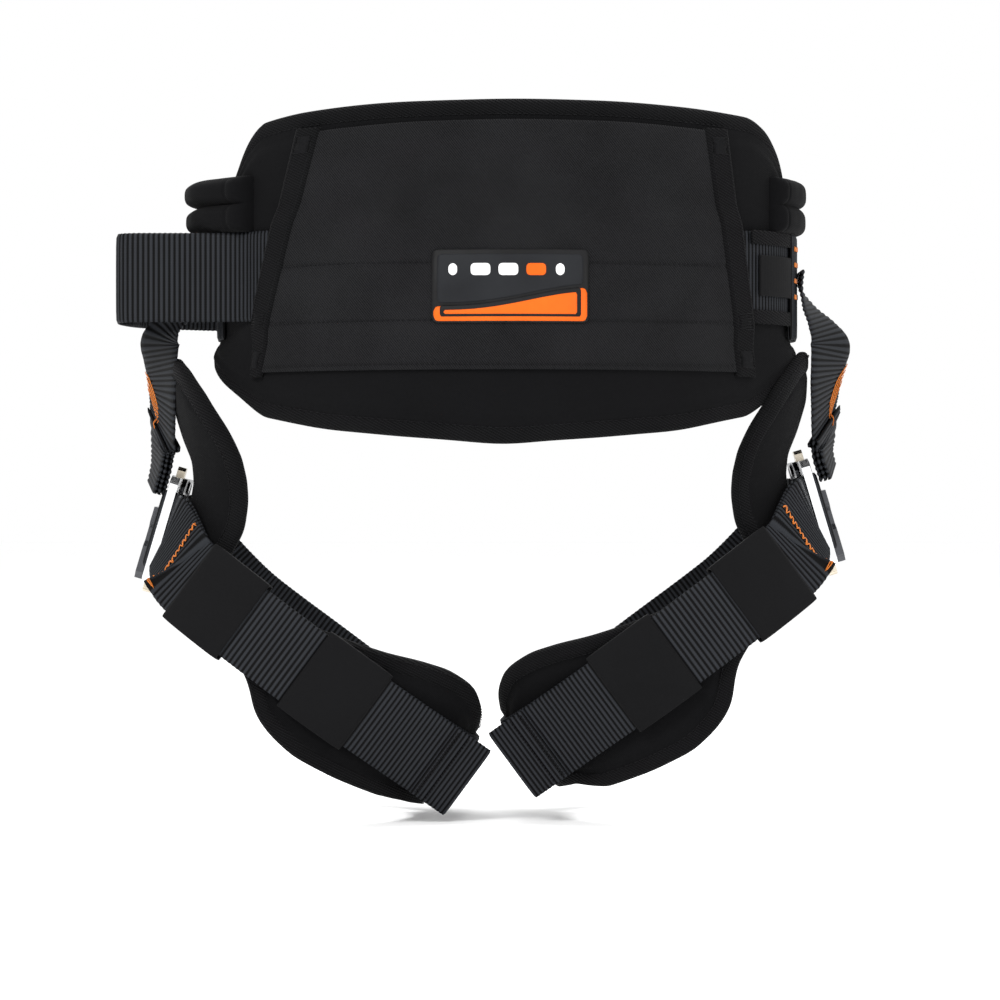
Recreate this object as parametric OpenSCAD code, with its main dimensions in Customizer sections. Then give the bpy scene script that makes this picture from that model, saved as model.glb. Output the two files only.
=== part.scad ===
// Tree climbing saddle: padded waist belt, two padded leg loops, quick-connect buckles and D-rings.
// Millimetres. The wearer's back is -Y, up is +Z, the origin is the centre of the waist opening.

/* [Webbing] */
// Height of the waist belt webbing
belt_width = 50; // [44:1:50]
// Height of the leg strap webbing
strap_width = 45; // [40:1:45]
// Thickness of all webbing
web = 2.2; // [1.8:0.1:2.3]

/* [Waist] */
// Thickness of the back pad
pad_thick = 12; // [9:0.5:12]
// Height of the label
label_height = 40; // [34:1:44]
// Opening angle of the hip D-rings
ring_turn = 0; // [0:5:90]

/* [Legs] */
// Tilt of both leg loops
leg_tilt = 36.5; // [34:0.5:39]
// Thickness of the leg pads
leg_pad_thick = 9; // [6:0.5:10]
// Distance the leg buckle tongues are drawn out
leg_tongue_out = 0; // [0:1:24]

/* [Hidden] */
$fn = 32;
waist_big = 180;
waist_depth = 105;
waist_bend = 45;
leg_big = 125;
leg_depth = 84;
leg_bend = 40;
left_leg = [-114.2, 0, -213.2];
right_leg = [96.7, 0, -203.5];
belt_in = pad_thick + 0.4;
belt_mid = belt_in + web / 2;
belt_out = belt_in + web;
fabric = 1.5;
rail = 2.5;
plate = 1.8;
ring_r = 25;
wire = 4;
buckle_spot = [-108, 22, 10];
buckle_untilt = -20;

// Closed lens of four tangent arcs; psi is 0 at the back, 90 on the +X side; d is the outward offset.
function small_arc(big, depth, bend) = big - (big - depth) / cos(bend);
function lens(psi, d, big, depth, bend) =
    let(p = psi > 180 ? psi - 360 : psi < -180 ? psi + 360 : psi,
        q = abs(p),
        s = p < 0 ? -1 : 1,
        small = small_arc(big, depth, bend),
        cx = (big - small) * sin(bend))
    q <= bend ? [(big + d) * sin(p), big - depth - (big + d) * cos(p)]
    : q <= 180 - bend ? [s * (cx + (small + d) * sin(q)), -(small + d) * cos(q)]
    : [(big + d) * sin(p), depth - big - (big + d) * cos(p)];
function waist(psi, d) = lens(psi, d, waist_big, waist_depth, waist_bend);
function thigh(psi, d) = lens(psi, d, leg_big, leg_depth, leg_bend);
function flip(v) = [for (i = [len(v) - 1 : -1 : 0]) v[i]];

// Heights of the waist pad outline against psi
top_curve = [[-100, 40], [-90, 44], [-80, 48], [-72, 52], [-64, 60], [-57, 73], [-48, 84], [-38, 89],
    [-20, 92], [0, 93], [20, 92.5], [38, 90], [48, 88], [58, 82], [68, 71], [76, 60], [85, 48], [100, 40]];
low_curve = [[-100, -40], [-90, -46], [-75, -55], [-60, -67], [-48, -77], [-30, -86], [0, -94],
    [30, -86], [50, -75], [70, -60], [85, -49], [100, -41]];
function pad_top(psi) = lookup(psi, top_curve);
function pad_low(psi) = lookup(psi, low_curve);
function seam_left(z) = lookup(z, [[-55, -44.5], [90, -30.8]]);
function seam_right(z) = lookup(z, [[-55, 41.5], [90, 34]]);

// Closed skin over rings; each ring holds its inner points, then its outer points in reverse order.
function signed(pts, f) = [for (t = f) pts[t[0]] * cross(pts[t[1]], pts[t[2]])];
function total(v) = v * [for (i = v) 1];
module skin(rings) {
    m = len(rings[0]);
    n = len(rings);
    k = m / 2;
    pts = [for (r = rings) each r];
    sides = [for (i = [0 : n - 2]) for (j = [0 : m - 1])
        let(a = i * m + j, b = i * m + (j + 1) % m)
        each [[a, b, b + m], [a, b + m, a + m]]];
    last = (n - 1) * m;
    first_cap = [for (i = [0 : k - 2]) each [[i, m - 1 - i, m - 2 - i], [i, m - 2 - i, i + 1]]];
    last_cap = [for (i = [0 : k - 2])
        each [[last + i, last + m - 2 - i, last + m - 1 - i],
              [last + i, last + i + 1, last + m - 2 - i]]];
    faces = concat(sides, first_cap, last_cap);
    good = total(signed(pts, faces)) < 0 ? faces : [for (t = faces) [t[0], t[2], t[1]]];
    polyhedron(pts, good, convexity = 8);
}
// A profile row is [height, inner offset, outer offset].
function waist_row(psi, z, d) = let(p = waist(psi, d)) [p[0], p[1], z];
function waist_ring(psi, rows) = concat(
    [for (r = rows) waist_row(psi, r[0], r[1])],
    flip([for (r = rows) waist_row(psi, r[0], r[2])]));
function span(a, b, n) = [for (i = [0 : n]) a + (b - a) * i / n];

// Ribbon of even thickness along a plan path
function along(p, i) = let(n = len(p),
        t = p[min(i + 1, n - 1)] - p[max(i - 1, 0)])
    [-t[1], t[0]] / norm(t);
module ribbon_plan(path, t) {
    n = len(path);
    one = [for (i = [0 : n - 1]) path[i] + along(path, i) * t / 2];
    two = [for (i = [0 : n - 1]) path[i] - along(path, i) * t / 2];
    polygon(concat(one, flip(two)));
}
module ribbon(path, height, t = web) {
    linear_extrude(height, center = true) ribbon_plan(path, t);
}
// Smooth curve through given points
function blend4(a, b, c, d, t) = 0.5 * (2 * b + (c - a) * t + (2 * a - 5 * b + 4 * c - d) * t * t
    + (3 * b - a - 3 * c + d) * t * t * t);
function smooth(p, n) = concat([for (i = [0 : len(p) - 2]) for (j = [0 : n - 1])
    blend4(p[max(i - 1, 0)], p[i], p[i + 1], p[min(i + 2, len(p) - 1)], j / n)], [p[len(p) - 1]]);

// Waist pad and its trim
module back_pad() {
    color([0.05, 0.05, 0.055])
    skin([for (psi = span(-98, 98, 28))
        let(lo = pad_low(psi) + 8, hi = pad_top(psi) - 8)
        waist_ring(psi, [[lo, 3, 8], [lo + 5, 1, pad_thick - 1], [lo + 14, 0, pad_thick],
            [hi - 14, 0, pad_thick], [hi - 5, 1, pad_thick - 1], [hi, 3, 8]])]);
}
module edge_band(from_psi, to_psi, upper) {
    skin([for (psi = span(from_psi, to_psi, 28))
        let(z = upper ? pad_top(psi) - 7.8 : pad_low(psi) + 7.8, e = upper ? 1 : -1)
        waist_ring(psi, [[z, 2.5, 9], [z + e * 5, 2.5, 9], [z + e * 7.8, 4, 7.5]])]);
}
module pad_binding_top() {
    color([0.03, 0.03, 0.03]) edge_band(-98, 98, true);
}
module pad_binding_bottom() {
    color([0.03, 0.03, 0.03]) edge_band(-98, 98, false);
}
// Rows of a cloth layer that steps over the belt
function over_belt(lo, hi, t) = [for (r = [[lo, 0], [-38, 0], [-28, 1], [-9, 1], [9, 1], [28, 1],
        [38, 0], [(38 + hi) / 2, 0], [hi, 0]])
    let(d = r[1] == 1 ? belt_out + 0.4 : belt_in) [r[0], d, d + t]];
module cover_panel() {
    color([0.08, 0.08, 0.085])
    skin([for (u = span(0, 1, 20))
        let(mid = seam_left(0) + (seam_right(0) - seam_left(0)) * u,
            rows = over_belt(-54, pad_top(mid) - 12, fabric),
            at = function (z) seam_left(z) + (seam_right(z) - seam_left(z)) * u)
        concat([for (r = rows) waist_row(at(r[0]), r[0], r[1])],
            flip([for (r = rows) waist_row(at(r[0]), r[0], r[2])]))]);
}
module panel_tape(side) {
    skin([for (u = span(0, 1, 3))
        let(rows = over_belt(-56, 78, fabric + 0.4),
            at = function (z) side < 0 ? seam_left(z) - 0.2 - 4.4 * u : seam_right(z) + 0.2 + 4.4 * u)
        concat([for (r = rows) waist_row(at(r[0]), r[0], r[1])],
            flip([for (r = rows) waist_row(at(r[0]), r[0], r[2])]))]);
}
module panel_tape_left() {
    color([0.04, 0.04, 0.04]) panel_tape(-1);
}
module panel_tape_right() {
    color([0.04, 0.04, 0.04]) panel_tape(1);
}
label_d = belt_out + 0.4 + fabric + 0.1;
module label_sheet(a, b, lo, hi, d, t) {
    skin([for (psi = span(a, b, 8))
        let(corner = psi == a || psi == b ? 2.5 : 0)
        waist_ring(psi, [[lo + corner, d, d + t], [hi - corner, d, d + t]])]);
}
module label_frame() {
    color([0.03, 0.03, 0.03])
    label_sheet(-11.8, 13.3, -8.8 - label_height / 2, -8.8 + label_height / 2, label_d, 1.3);
}
module label_plate() {
    color([0.16, 0.16, 0.17])
    label_sheet(-10.9, 12.3, -16.3, -10.8 + label_height / 2, label_d + 1.4, 0.9);
}
module label_band() {
    color([0.9, 0.35, 0.05])
    label_sheet(-11.3, 12.8, -7.8 - label_height / 2, -17.8, label_d + 1.4, 0.9);
}
module side_roll(a, b, out) {
    base = pad_thick + 0.3;
    skin([for (i = [0 : 10])
        let(psi = a + (b - a) * i / 10, e = i == 0 || i == 10 ? 0.5 : 1, w = out * e)
        waist_ring(psi, [[27, base, base + 2 * e], [30, base, base + w * 0.8],
            [34.5, base, base + w], [39, base, base + w * 0.8], [41.5, base, base + w * 0.45],
            [44, base, base + w * 0.85], [48.5, base, base + w * 1.05],
            [52, base, base + w * 0.8], [54, base, base + 2 * e]])]);
}
module side_roll_left() {
    color([0.05, 0.05, 0.055]) side_roll(-88, -50, 20);
}
module side_roll_right() {
    color([0.05, 0.05, 0.055]) side_roll(58, 86, 7);
}

// Waist belt, its keeper and the hip tabs
belt_right = [for (psi = span(-50, 160, 42)) waist(psi, belt_mid)];
belt_bulge = smooth([waist(-50, belt_mid), [-151, -50.5], [-168, -47.5], [-190, -47.5], [-206, -47],
    [-214, -42.5], [-217, -33], [-217.5, -10], [-213, 18], [-206, 34], [-196, 46], [-184, 54.6],
    [-172, 63.2], [-146, 75], waist(-145, belt_mid)], 4);
belt_front = [for (psi = span(-147, -166, 4)) waist(psi, belt_mid)];
module waist_belt() {
    color([0.07, 0.07, 0.075])
    difference() {
        ribbon(concat(flip(belt_front), flip(belt_bulge),
            [for (i = [1 : len(belt_right) - 1]) belt_right[i]]), belt_width);
        translate([-56, 100, -40])
            cube([16, 40, 80]);
    }
    color([0.07, 0.07, 0.075])
    translate(waist_buckle)
    rotate([0, 0, 90])
        frame_loop(belt_width);
}
module belt_keeper() {
    color([0.05, 0.05, 0.05])
    skin([for (psi = span(49, 69, 5))
        waist_ring(psi, [[-11, belt_out + 0.3, belt_out + 2], [12, belt_out + 0.3, belt_out + 2]])]);
}
module hip_tab(side, d) {
    skin([for (psi = span(72, 102, 8))
        waist_ring(side * psi, [[-34, d, d + web], [26, d, d + web]])]);
}
left_ring = [-185.1, 56.2, 0];
left_ring_turn = 35.6;
right_ring_d = belt_out + 0.3;
function spot(psi, d) = let(p = waist(psi, d)) [p[0], p[1], 0];
module hip_ring_place(side) {
    if (side < 0)
        translate(left_ring) rotate([0, 0, left_ring_turn]) children();
    else
        translate(spot(132, right_ring_d)) rotate([0, 0, -48]) children();
}
module hip_tab_left() {
    color([0.06, 0.06, 0.065]) {
        hip_tab(-1, pad_thick + 0.4);
        hip_ring_place(-1) ring_loop();
    }
}
module hip_tab_right() {
    color([0.06, 0.06, 0.065]) {
        hip_tab(1, belt_out + 0.3);
        hip_ring_place(1) ring_loop();
    }
}
module hip_bartacks() {
    color([0.9, 0.4, 0.05])
    for (z = [17.5, 8.5, -0.5, -9.5]) {
        skin([for (psi = span(74, 80, 2))
            waist_ring(psi, [[z - 1, belt_out + 2.6, belt_out + 3.4],
                [z + 1, belt_out + 2.6, belt_out + 3.4]])]);
        skin([for (psi = span(-80, -74, 2))
            waist_ring(psi, [[z - 1, pad_thick + 2.7, pad_thick + 3.5],
                [z + 1, pad_thick + 2.7, pad_thick + 3.5]])]);
    }
}

// D-ring and the webbing loop that holds it; local x runs along the bar, y points outward.
ring_y = 7.3;
ring_z = 11;
module ring_loop() {
    rotate([90, 0, 90])
    linear_extrude(40, center = true)
    difference() {
        union() {
            translate([0.3, 6]) square([5, 19]);
            translate([ring_y, ring_z]) circle(r = wire + 0.4 + web);
        }
        translate([ring_y, ring_z]) circle(r = wire + 0.4);
        translate([-10, -20]) square([10.3, 60]);
    }
}
module dring(turn = 0) {
    translate([0, ring_y, ring_z])
    rotate([turn, 0, 0]) {
        rotate([0, 90, 0]) cylinder(r = wire, h = 2 * ring_r, center = true);
        for (x = [-ring_r, ring_r]) {
            translate([x, 0, 0]) sphere(r = wire);
            translate([x, 0, -5]) cylinder(r = wire, h = 5);
        }
        translate([0, 0, -5])
        rotate([-90, 0, 0])
        rotate_extrude(angle = 180)
            translate([ring_r, 0]) circle(r = wire);
    }
}
module hip_dring_left() {
    color([0.62, 0.62, 0.64]) hip_ring_place(-1) dring(ring_turn);
}
module hip_dring_right() {
    color([0.62, 0.62, 0.64]) hip_ring_place(1) dring(ring_turn);
}
module front_ring_place(side) {
    translate(spot(side * 153, belt_out)) rotate([0, 0, -side * 27]) children();
}
module front_ring_loops() {
    color([0.06, 0.06, 0.065])
    for (side = [-1, 1]) front_ring_place(side) ring_loop();
}
module front_dring_left() {
    color([0.62, 0.62, 0.64]) front_ring_place(-1) dring();
}
module front_dring_right() {
    color([0.62, 0.62, 0.64]) front_ring_place(1) dring();
}

// Quick-connect buckle; local x is outward, -y is where the tongue comes out, z is the width.
module plate_shape() {
    difference() {
        polygon([[-14, -26], [-9, -31], [31, -31], [36, -26], [36, 26], [31, 31], [-9, 31], [-14, 26]]);
        for (z = [-1, 1]) {
            translate([18, z * 25]) circle(r = 2.5);
            translate([5, z * 26.5]) circle(r = 2.5);
        }
        translate([24, 0]) square([5.5, 2 * 26], center = true);
        polygon([[-14.5, -9], [-3, -5], [2, -9], [9, -5], [9, 5], [2, 9], [-3, 5], [-14.5, 9]]);
    }
}
// Draws a (y, z) outline as a slab between two x values.
module slab(x0, x1) {
    translate([x0, 0, 0])
    rotate([90, 0, 90])
    linear_extrude(x1 - x0)
        children();
}
module cover_plates() {
    slab(rail + 0.3, rail + 0.3 + plate) plate_shape();
    slab(rail + 0.2 + plate, rail + 4.8 + plate)
    difference() {
        polygon([[-13, -11], [14, -11], [18, -7], [18, 19], [11, 19], [11, 21], [-1, 21], [-1, 31],
            [-9, 31], [-13, 27], [-13, 12], [-10, 9], [-10, 1], [-13, -2]]);
        translate([5, 26.5]) circle(r = 5.2);
    }
    slab(-rail - 0.3 - plate, -rail - 0.3) plate_shape();
}
module frame_block() {
    slab(-rail, rail)
    difference() {
        polygon([[12, -31], [31, -31], [36, -26], [36, 26], [31, 31], [12, 31]]);
        translate([24, 0]) square([5.5, 52], center = true);
        for (z = [-1, 1]) translate([18, z * 25]) circle(r = 2.5);
    }
}
module rivet_set() {
    top = rail + 0.4 + plate;
    for (z = [-1, 1]) for (p = [[18, 25], [5, 26.5]])
        translate([0, p[0], z * p[1]]) rotate([0, 90, 0]) {
            cylinder(r = 2.45, h = 2 * top, center = true);
            translate([0, 0, top]) cylinder(r1 = 4.2, r2 = 3.2, h = 1.2);
            translate([0, 0, -top - 1.2]) cylinder(r1 = 3.2, r2 = 4.2, h = 1.2);
        }
}
module tongue_body() {
    slab(-rail + 0.1, rail - 0.1)
    difference() {
        union() {
            translate([-15.5, -20.4]) square([23.5, 40.8]);
            polygon([[-15, -31], [-15, 31], [-35, 31], [-38.5, 27], [-38.5, -27], [-35, -31]]);
        }
        translate([-19.5, 0]) square([5, 52], center = true);
        translate([-29.5, 0]) square([5, 52], center = true);
        circle(r = 5);
    }
}
module lever(side) {
    slab(-rail + 0.2, rail - 0.2)
    difference() {
        polygon([for (p = [[-13.5, 22.5], [9, 22.5], [10.5, 25], [10.5, 29], [8, 31], [-3, 31],
            [-5, 37], [-12, 37], [-13.5, 35]]) [p[0], side * p[1]]]);
        translate([5, side * 26.5]) circle(r = 2.53);
    }
}
// Webbing turned round the bar at the far end of the frame
frame_path = smooth([[-5.4, 44.5], [-6.2, 40], [-6.4, 34], [-6.4, 28.5], [-6.1, 25.6], [-4.4, 24.2], [0, 24],
        [4.4, 24.2], [6.1, 25.6], [6.4, 28.5], [6.4, 34], [5.8, 40], [1.4, 46], [-1.9, 50.5]], 3);
module frame_loop(w) {
    ribbon(frame_path, w);
}
// Webbing turned round the middle bar of the tongue
module tongue_loop(w, out) {
    path = smooth([[-5.5 - out, -48], [-4.3, -38], [-3.7, -32.4], [0, -29.5], [3.7, -28.2], [4.1, -24.5],
        [3.7, -20.8], [0, -19.5], [-4, -20], [-6.8, -24], [-7.3, -32], [-8.2 - out, -47]], 4);
    difference() {
        ribbon(path, w);
        translate([-rail, -27.1, -40]) cube([2 * rail, 5.2, 80]);
        translate([-rail, -39, -40]) cube([2 * rail, 7.1, 80]);
        translate([-rail, -17.1, -40]) cube([2 * rail, 9, 80]);
    }
}
waist_buckle = [-10, 119.5, 0];
module waist_place() {
    translate(waist_buckle) rotate([0, 0, 90]) children();
}
module waist_frame() {
    color([0.75, 0.76, 0.78]) waist_place() frame_block();
}
module waist_cover_plates() {
    color([0.14, 0.14, 0.15]) waist_place() cover_plates();
}
module waist_rivets() {
    color([0.5, 0.5, 0.52]) waist_place() rivet_set();
}
module waist_tongue() {
    color([0.8, 0.81, 0.83]) waist_place() tongue_body();
}
module waist_lever_upper() {
    color([0.6, 0.55, 0.42]) waist_place() lever(1);
}
module waist_lever_lower() {
    color([0.6, 0.55, 0.42]) waist_place() lever(-1);
}
module waist_belt_end() {
    color([0.07, 0.07, 0.075]) waist_place() tongue_loop(belt_width, 0.5);
}

// Leg loops, drawn for the left side and mirrored for the right
module leg_place(side) {
    if (side < 0)
        translate(left_leg) rotate([0, leg_tilt, 0]) children();
    else
        translate(right_leg) mirror([1, 0, 0]) rotate([0, leg_tilt, 0]) children();
}
module buckle_place(side, out = 0) {
    leg_place(side)
    translate(buckle_spot)
    rotate([0, buckle_untilt, 0])
    rotate([0, 180, 0])
    translate([0, -out, 0])
        children();
}
// Heights of the leg pad outline against psi, measured across the strap
function leg_hi(psi) = lookup(psi, [[-20, 8], [-14, 16], [-1, 20], [8, 25], [19, 32], [28, 39], [37, 44],
    [50, 44], [62, 39], [80, 29], [100, 25], [116, 20]]);
function leg_lo(psi) = lookup(psi, [[-20, -13], [-14, -18], [-8, -22], [-4, -28], [0, -36], [6, -40],
    [14, -42], [26, -39], [42, -33], [58, -29], [75, -27], [100, -27], [116, -20]]);
module leg_pad(side) {
    leg_place(side)
    skin([for (psi = span(-20, 116, 24))
        let(lo = leg_lo(psi) * (side > 0 && psi < 50 ? 1.18 : 1), hi = leg_hi(psi),
            a = -1.7 - leg_pad_thick, b = -1.7,
            row = function (h, d) let(p = thigh(psi, d)) [p[0], p[1], h],
            rows = [[lo, a + 3, b - 2], [lo + 5, a, b], [hi - 5, a, b], [hi, a + 3, b - 2]])
        concat([for (r = rows) row(r[0], r[1])], flip([for (r = rows) row(r[0], r[2])]))]);
}
// Point of the buckle's plan in leg loop coordinates
function from_buckle(p) = [buckle_spot[0] - p[0] * cos(buckle_untilt), buckle_spot[1] + p[1],
    buckle_spot[2] + p[0] * sin(buckle_untilt)];
function on_thigh(psi, z) = let(p = thigh(psi, web / 2)) [p[0], p[1], z];
// Strap through 3-D points; turns holds how far each cross line has turned to the buckle's lean.
module strap_skin(path, turns, width, t) {
    n = len(path);
    skin([for (i = [0 : n - 1])
        let(c = path[i], run = path[min(i + 1, n - 1)] - path[max(i - 1, 0)],
            e = [sin(buckle_untilt * turns[i]), 0, cos(buckle_untilt * turns[i])],
            along = run / norm(run), f = e - along * (e * along), w = f / norm(f) * width / 2,
            m = cross(w, along), h = m / norm(m) * t / 2)
        [c - w - h, c + w - h, c + w + h, c - w + h]]);
}
strap_ring = [for (psi = span(-50, 188, 48)) on_thigh(psi, 0)];
strap_lead = smooth([on_thigh(180, 0), on_thigh(188, 0), [-45, 78.6, 0.8], [-66, 75, 3.6], [-86, 72, 7.6],
    [-97, 70.6, 10], from_buckle([-5.4, 44.5])], 3);
strap_loop = [for (p = frame_path) from_buckle(p)];
strap_path = concat(strap_ring, [for (i = [4 : len(strap_lead) - 2]) strap_lead[i]], strap_loop);
strap_turns = concat([for (p = strap_ring) 0],
    [for (i = [4 : len(strap_lead) - 2]) (i - 3) / (len(strap_lead) - 4)], [for (p = strap_loop) 1]);
strap_tail = concat([for (psi = span(-44, 28, 18)) thigh(psi, web * 1.5 + 0.2)],
    [[86, -58.8], [113, -44.5]]);
module leg_webbing(side) {
    leg_place(side) {
        strap_skin(strap_path, strap_turns, strap_width, web);
        ribbon(strap_tail, strap_width);
    }
}
module sector(a, b, d0, d1, h) {
    linear_extrude(h, center = true)
    polygon(concat([for (p = span(a, b, 6)) thigh(p, d0)], flip([for (p = span(a, b, 6)) thigh(p, d1)])));
}
module keeper(side, mid) {
    top = 2 * web + 0.2;
    leg_place(side)
    difference() {
        sector(mid - 9.4, mid + 9.4, -1.4, top + 1.5, strap_width + 3.2);
        sector(mid - 13, mid + 13, -0.4, top + 0.45, strap_width + 0.9);
    }
}
// Pad between the thigh and the buckle
function hip_hi(psi) = lookup(psi, [[32, -124], [40, -86], [52, -64], [66, -50], [80, -44], [95, -46],
    [110, -60], [124, -88], [132, -118]]);
function hip_lo(psi) = lookup(psi, [[32, -142], [40, -160], [52, -166], [80, -168], [110, -164],
    [124, -152], [132, -138]]);
// Outer radius of the hip pad against height: drawn in under the top of the buckle, and on the left
// also behind the riser
hip_round = [[-175, 74], [-145, 70], [-128, 66], [-114, 63.5], [-102, 64.5], [-90, 69], [-72, 74],
    [-45, 76]];
module hip_pad(side) {
    c = side < 0 ? left_leg : right_leg;
    shift = side < 0 ? 0 : 4;
    skin([for (psi = span(32, 132, 20))
        let(lo = hip_lo(psi), hi = hip_hi(psi),
            r = function (z) lookup(z, hip_round) - 6.3 - (side < 0 ? lookup(z, [[-98, 0], [-68, 4]]) : 0),
            row = function (z, d) [c[0] + side * (r(z) + d) * sin(psi), -(r(z) + d) * cos(psi), z + shift],
            rows = [for (k = [0 : 8]) let(e = k == 0 || k == 8) [lo + (hi - lo) * [0, 0.05, 0.2, 0.35,
                0.5, 0.65, 0.8, 0.95, 1][k], e ? 2 : 0, e ? 4.8 : 6.3]])
        concat([for (q = rows) row(q[0], q[1])], flip([for (q = rows) row(q[0], q[2])]))]);
}
// Riser strap from the hip tab to the leg buckle; a row is [x, y, z, edge direction, thickness].
riser_l = [[165.6, 0, 6, 0, 1], [166, 0, -2, 4, 1], [171, 0, -9, 12, 1], [181, 0, -17, 22, 1],
    [191.5, 0, -25, 32, 1], [196.5, 0, -33, 35, 1], [196.5, 0, -43, 30, 1], [195.5, 0, -54, 26, 1],
    [195.5, 1, -66, 23, 1], [195.5, 6, -80, 20, 1], [196, 12, -89, 16, 2.6], [197.4, 15, -104, 13, 2.6],
    [200.4, 17, -117, 12, 2.6]];
riser_r = [[168.1, 0, 6, 0, 1], [168.6, 0, -4, 4, 1], [173, 0, -14, 14, 1], [180, -1, -24, 26, 1],
    [185, -2, -34, 34, 1], [184.5, -2, -45, 31, 1], [183, 0, -57, 26, 1], [182.5, 4, -71, 22, 1],
    [182.5, 9, -81, 18, 1], [182.3, 13, -88, 15, 2.6], [182.6, 15, -98, 13, 2.6],
    [185.2, 17, -108, 12, 2.6]];
module riser(side) {
    rows = side < 0 ? riser_l : riser_r;
    skin([for (i = [0 : len(rows) - 1])
        let(q = rows[i], before = rows[max(i - 1, 0)], after = rows[min(i + 1, len(rows) - 1)],
            c = [side * q[0], q[1], q[2]],
            run = [side * (after[0] - before[0]), after[1] - before[1], after[2] - before[2]],
            w0 = [side * sin(q[3]), cos(q[3]), 0],
            n0 = cross(w0, run), n = n0 / norm(n0) * web * q[4] / 2,
            w = w0 * strap_width / 2)
        [c - w - n, c + w - n, c + w + n, c - w + n]]);
}
// Point off the riser's outer face: z is the height, v runs across the strap.
function on_riser(side, v, z, out) =
    let(rows = side < 0 ? riser_l : riser_r,
        at = function (k) lookup(z, [for (r = rows) [r[2], r[k]]]),
        a = at(3), d = web * at(4) / 2 + out)
    [side * (at(0) + v * sin(a) + d * cos(a)), at(1) + v * cos(a) - d * sin(a), z];
module riser_stitching(side) {
    top = side < 0 ? -76 : -70;
    for (i = [0 : 3])
        skin([for (v = span(-16, 16, 8))
            let(z = top - 7 * i + v * 0.6)
            [on_riser(side, v, z - 0.6, 1), on_riser(side, v, z + 0.6, 1),
             on_riser(side, v, z + 0.6, 1.7), on_riser(side, v, z - 0.6, 1.7)]]);
}
module strap_bartack(side) {
    buckle_place(side, leg_tongue_out)
    translate([-5.4, -43, 0])
    rotate([0, 0, -12.4])
    translate([web / 2 + 0.8, 0, 0])
        cube([0.8, 3, strap_width - 4], center = true);
}

module riser_left() {
    color([0.06, 0.06, 0.065]) riser(-1);
}
module riser_right() {
    color([0.06, 0.06, 0.065]) riser(1);
}
module riser_stitching_left() {
    color([0.9, 0.4, 0.05]) riser_stitching(-1);
}
module riser_stitching_right() {
    color([0.9, 0.4, 0.05]) riser_stitching(1);
}
module hip_pad_left() {
    color([0.05, 0.05, 0.055]) hip_pad(-1);
}
module hip_pad_right() {
    color([0.05, 0.05, 0.055]) hip_pad(1);
}
module leg_pad_left() {
    color([0.05, 0.05, 0.055]) leg_pad(-1);
}
module leg_pad_right() {
    color([0.05, 0.05, 0.055]) leg_pad(1);
}
module leg_webbing_left() {
    color([0.07, 0.07, 0.075]) leg_webbing(-1);
}
module leg_webbing_right() {
    color([0.07, 0.07, 0.075]) leg_webbing(1);
}
module keeper_outer_left() {
    color([0.04, 0.04, 0.04]) keeper(-1, -26);
}
module keeper_inner_left() {
    color([0.04, 0.04, 0.04]) keeper(-1, 11.6);
}
module keeper_outer_right() {
    color([0.04, 0.04, 0.04]) keeper(1, -26);
}
module keeper_inner_right() {
    color([0.04, 0.04, 0.04]) keeper(1, 11.6);
}
module buckle_frame_left() {
    color([0.75, 0.76, 0.78]) buckle_place(-1) frame_block();
}
module buckle_frame_right() {
    color([0.75, 0.76, 0.78]) buckle_place(1) frame_block();
}
module cover_plates_left() {
    color([0.14, 0.14, 0.15]) buckle_place(-1) cover_plates();
}
module cover_plates_right() {
    color([0.14, 0.14, 0.15]) buckle_place(1) cover_plates();
}
module rivets_left() {
    color([0.5, 0.5, 0.52]) buckle_place(-1) rivet_set();
}
module rivets_right() {
    color([0.5, 0.5, 0.52]) buckle_place(1) rivet_set();
}
module tongue_left() {
    color([0.8, 0.81, 0.83]) buckle_place(-1, leg_tongue_out) tongue_body();
}
module tongue_right() {
    color([0.8, 0.81, 0.83]) buckle_place(1, leg_tongue_out) tongue_body();
}
module lever_upper_left() {
    color([0.6, 0.55, 0.42]) buckle_place(-1) lever(-1);
}
module lever_upper_right() {
    color([0.6, 0.55, 0.42]) buckle_place(1) lever(-1);
}
module lever_lower_left() {
    color([0.6, 0.55, 0.42]) buckle_place(-1) lever(1);
}
module lever_lower_right() {
    color([0.6, 0.55, 0.42]) buckle_place(1) lever(1);
}
module strap_end_left() {
    color([0.07, 0.07, 0.075]) buckle_place(-1, leg_tongue_out) tongue_loop(strap_width, 1);
}
module strap_end_right() {
    color([0.07, 0.07, 0.075]) buckle_place(1, leg_tongue_out) tongue_loop(strap_width, 1);
}
module strap_bartack_left() {
    color([0.9, 0.4, 0.05]) strap_bartack(-1);
}
module strap_bartack_right() {
    color([0.9, 0.4, 0.05]) strap_bartack(1);
}

back_pad();
cover_panel();
panel_tape_left();
panel_tape_right();
pad_binding_top();
pad_binding_bottom();
label_frame();
label_plate();
label_band();
side_roll_left();
side_roll_right();
waist_belt();
belt_keeper();
hip_tab_left();
hip_tab_right();
hip_bartacks();
hip_dring_left();
hip_dring_right();
front_ring_loops();
front_dring_left();
front_dring_right();
waist_frame();
waist_cover_plates();
waist_rivets();
waist_tongue();
waist_lever_upper();
waist_lever_lower();
waist_belt_end();
riser_left();
riser_stitching_left();
hip_pad_left();
leg_pad_left();
leg_webbing_left();
keeper_outer_left();
keeper_inner_left();
buckle_frame_left();
cover_plates_left();
rivets_left();
tongue_left();
lever_upper_left();
lever_lower_left();
strap_end_left();
strap_bartack_left();
riser_right();
riser_stitching_right();
hip_pad_right();
leg_pad_right();
leg_webbing_right();
keeper_outer_right();
keeper_inner_right();
buckle_frame_right();
cover_plates_right();
rivets_right();
tongue_right();
lever_upper_right();
lever_lower_right();
strap_end_right();
strap_bartack_right();
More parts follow.
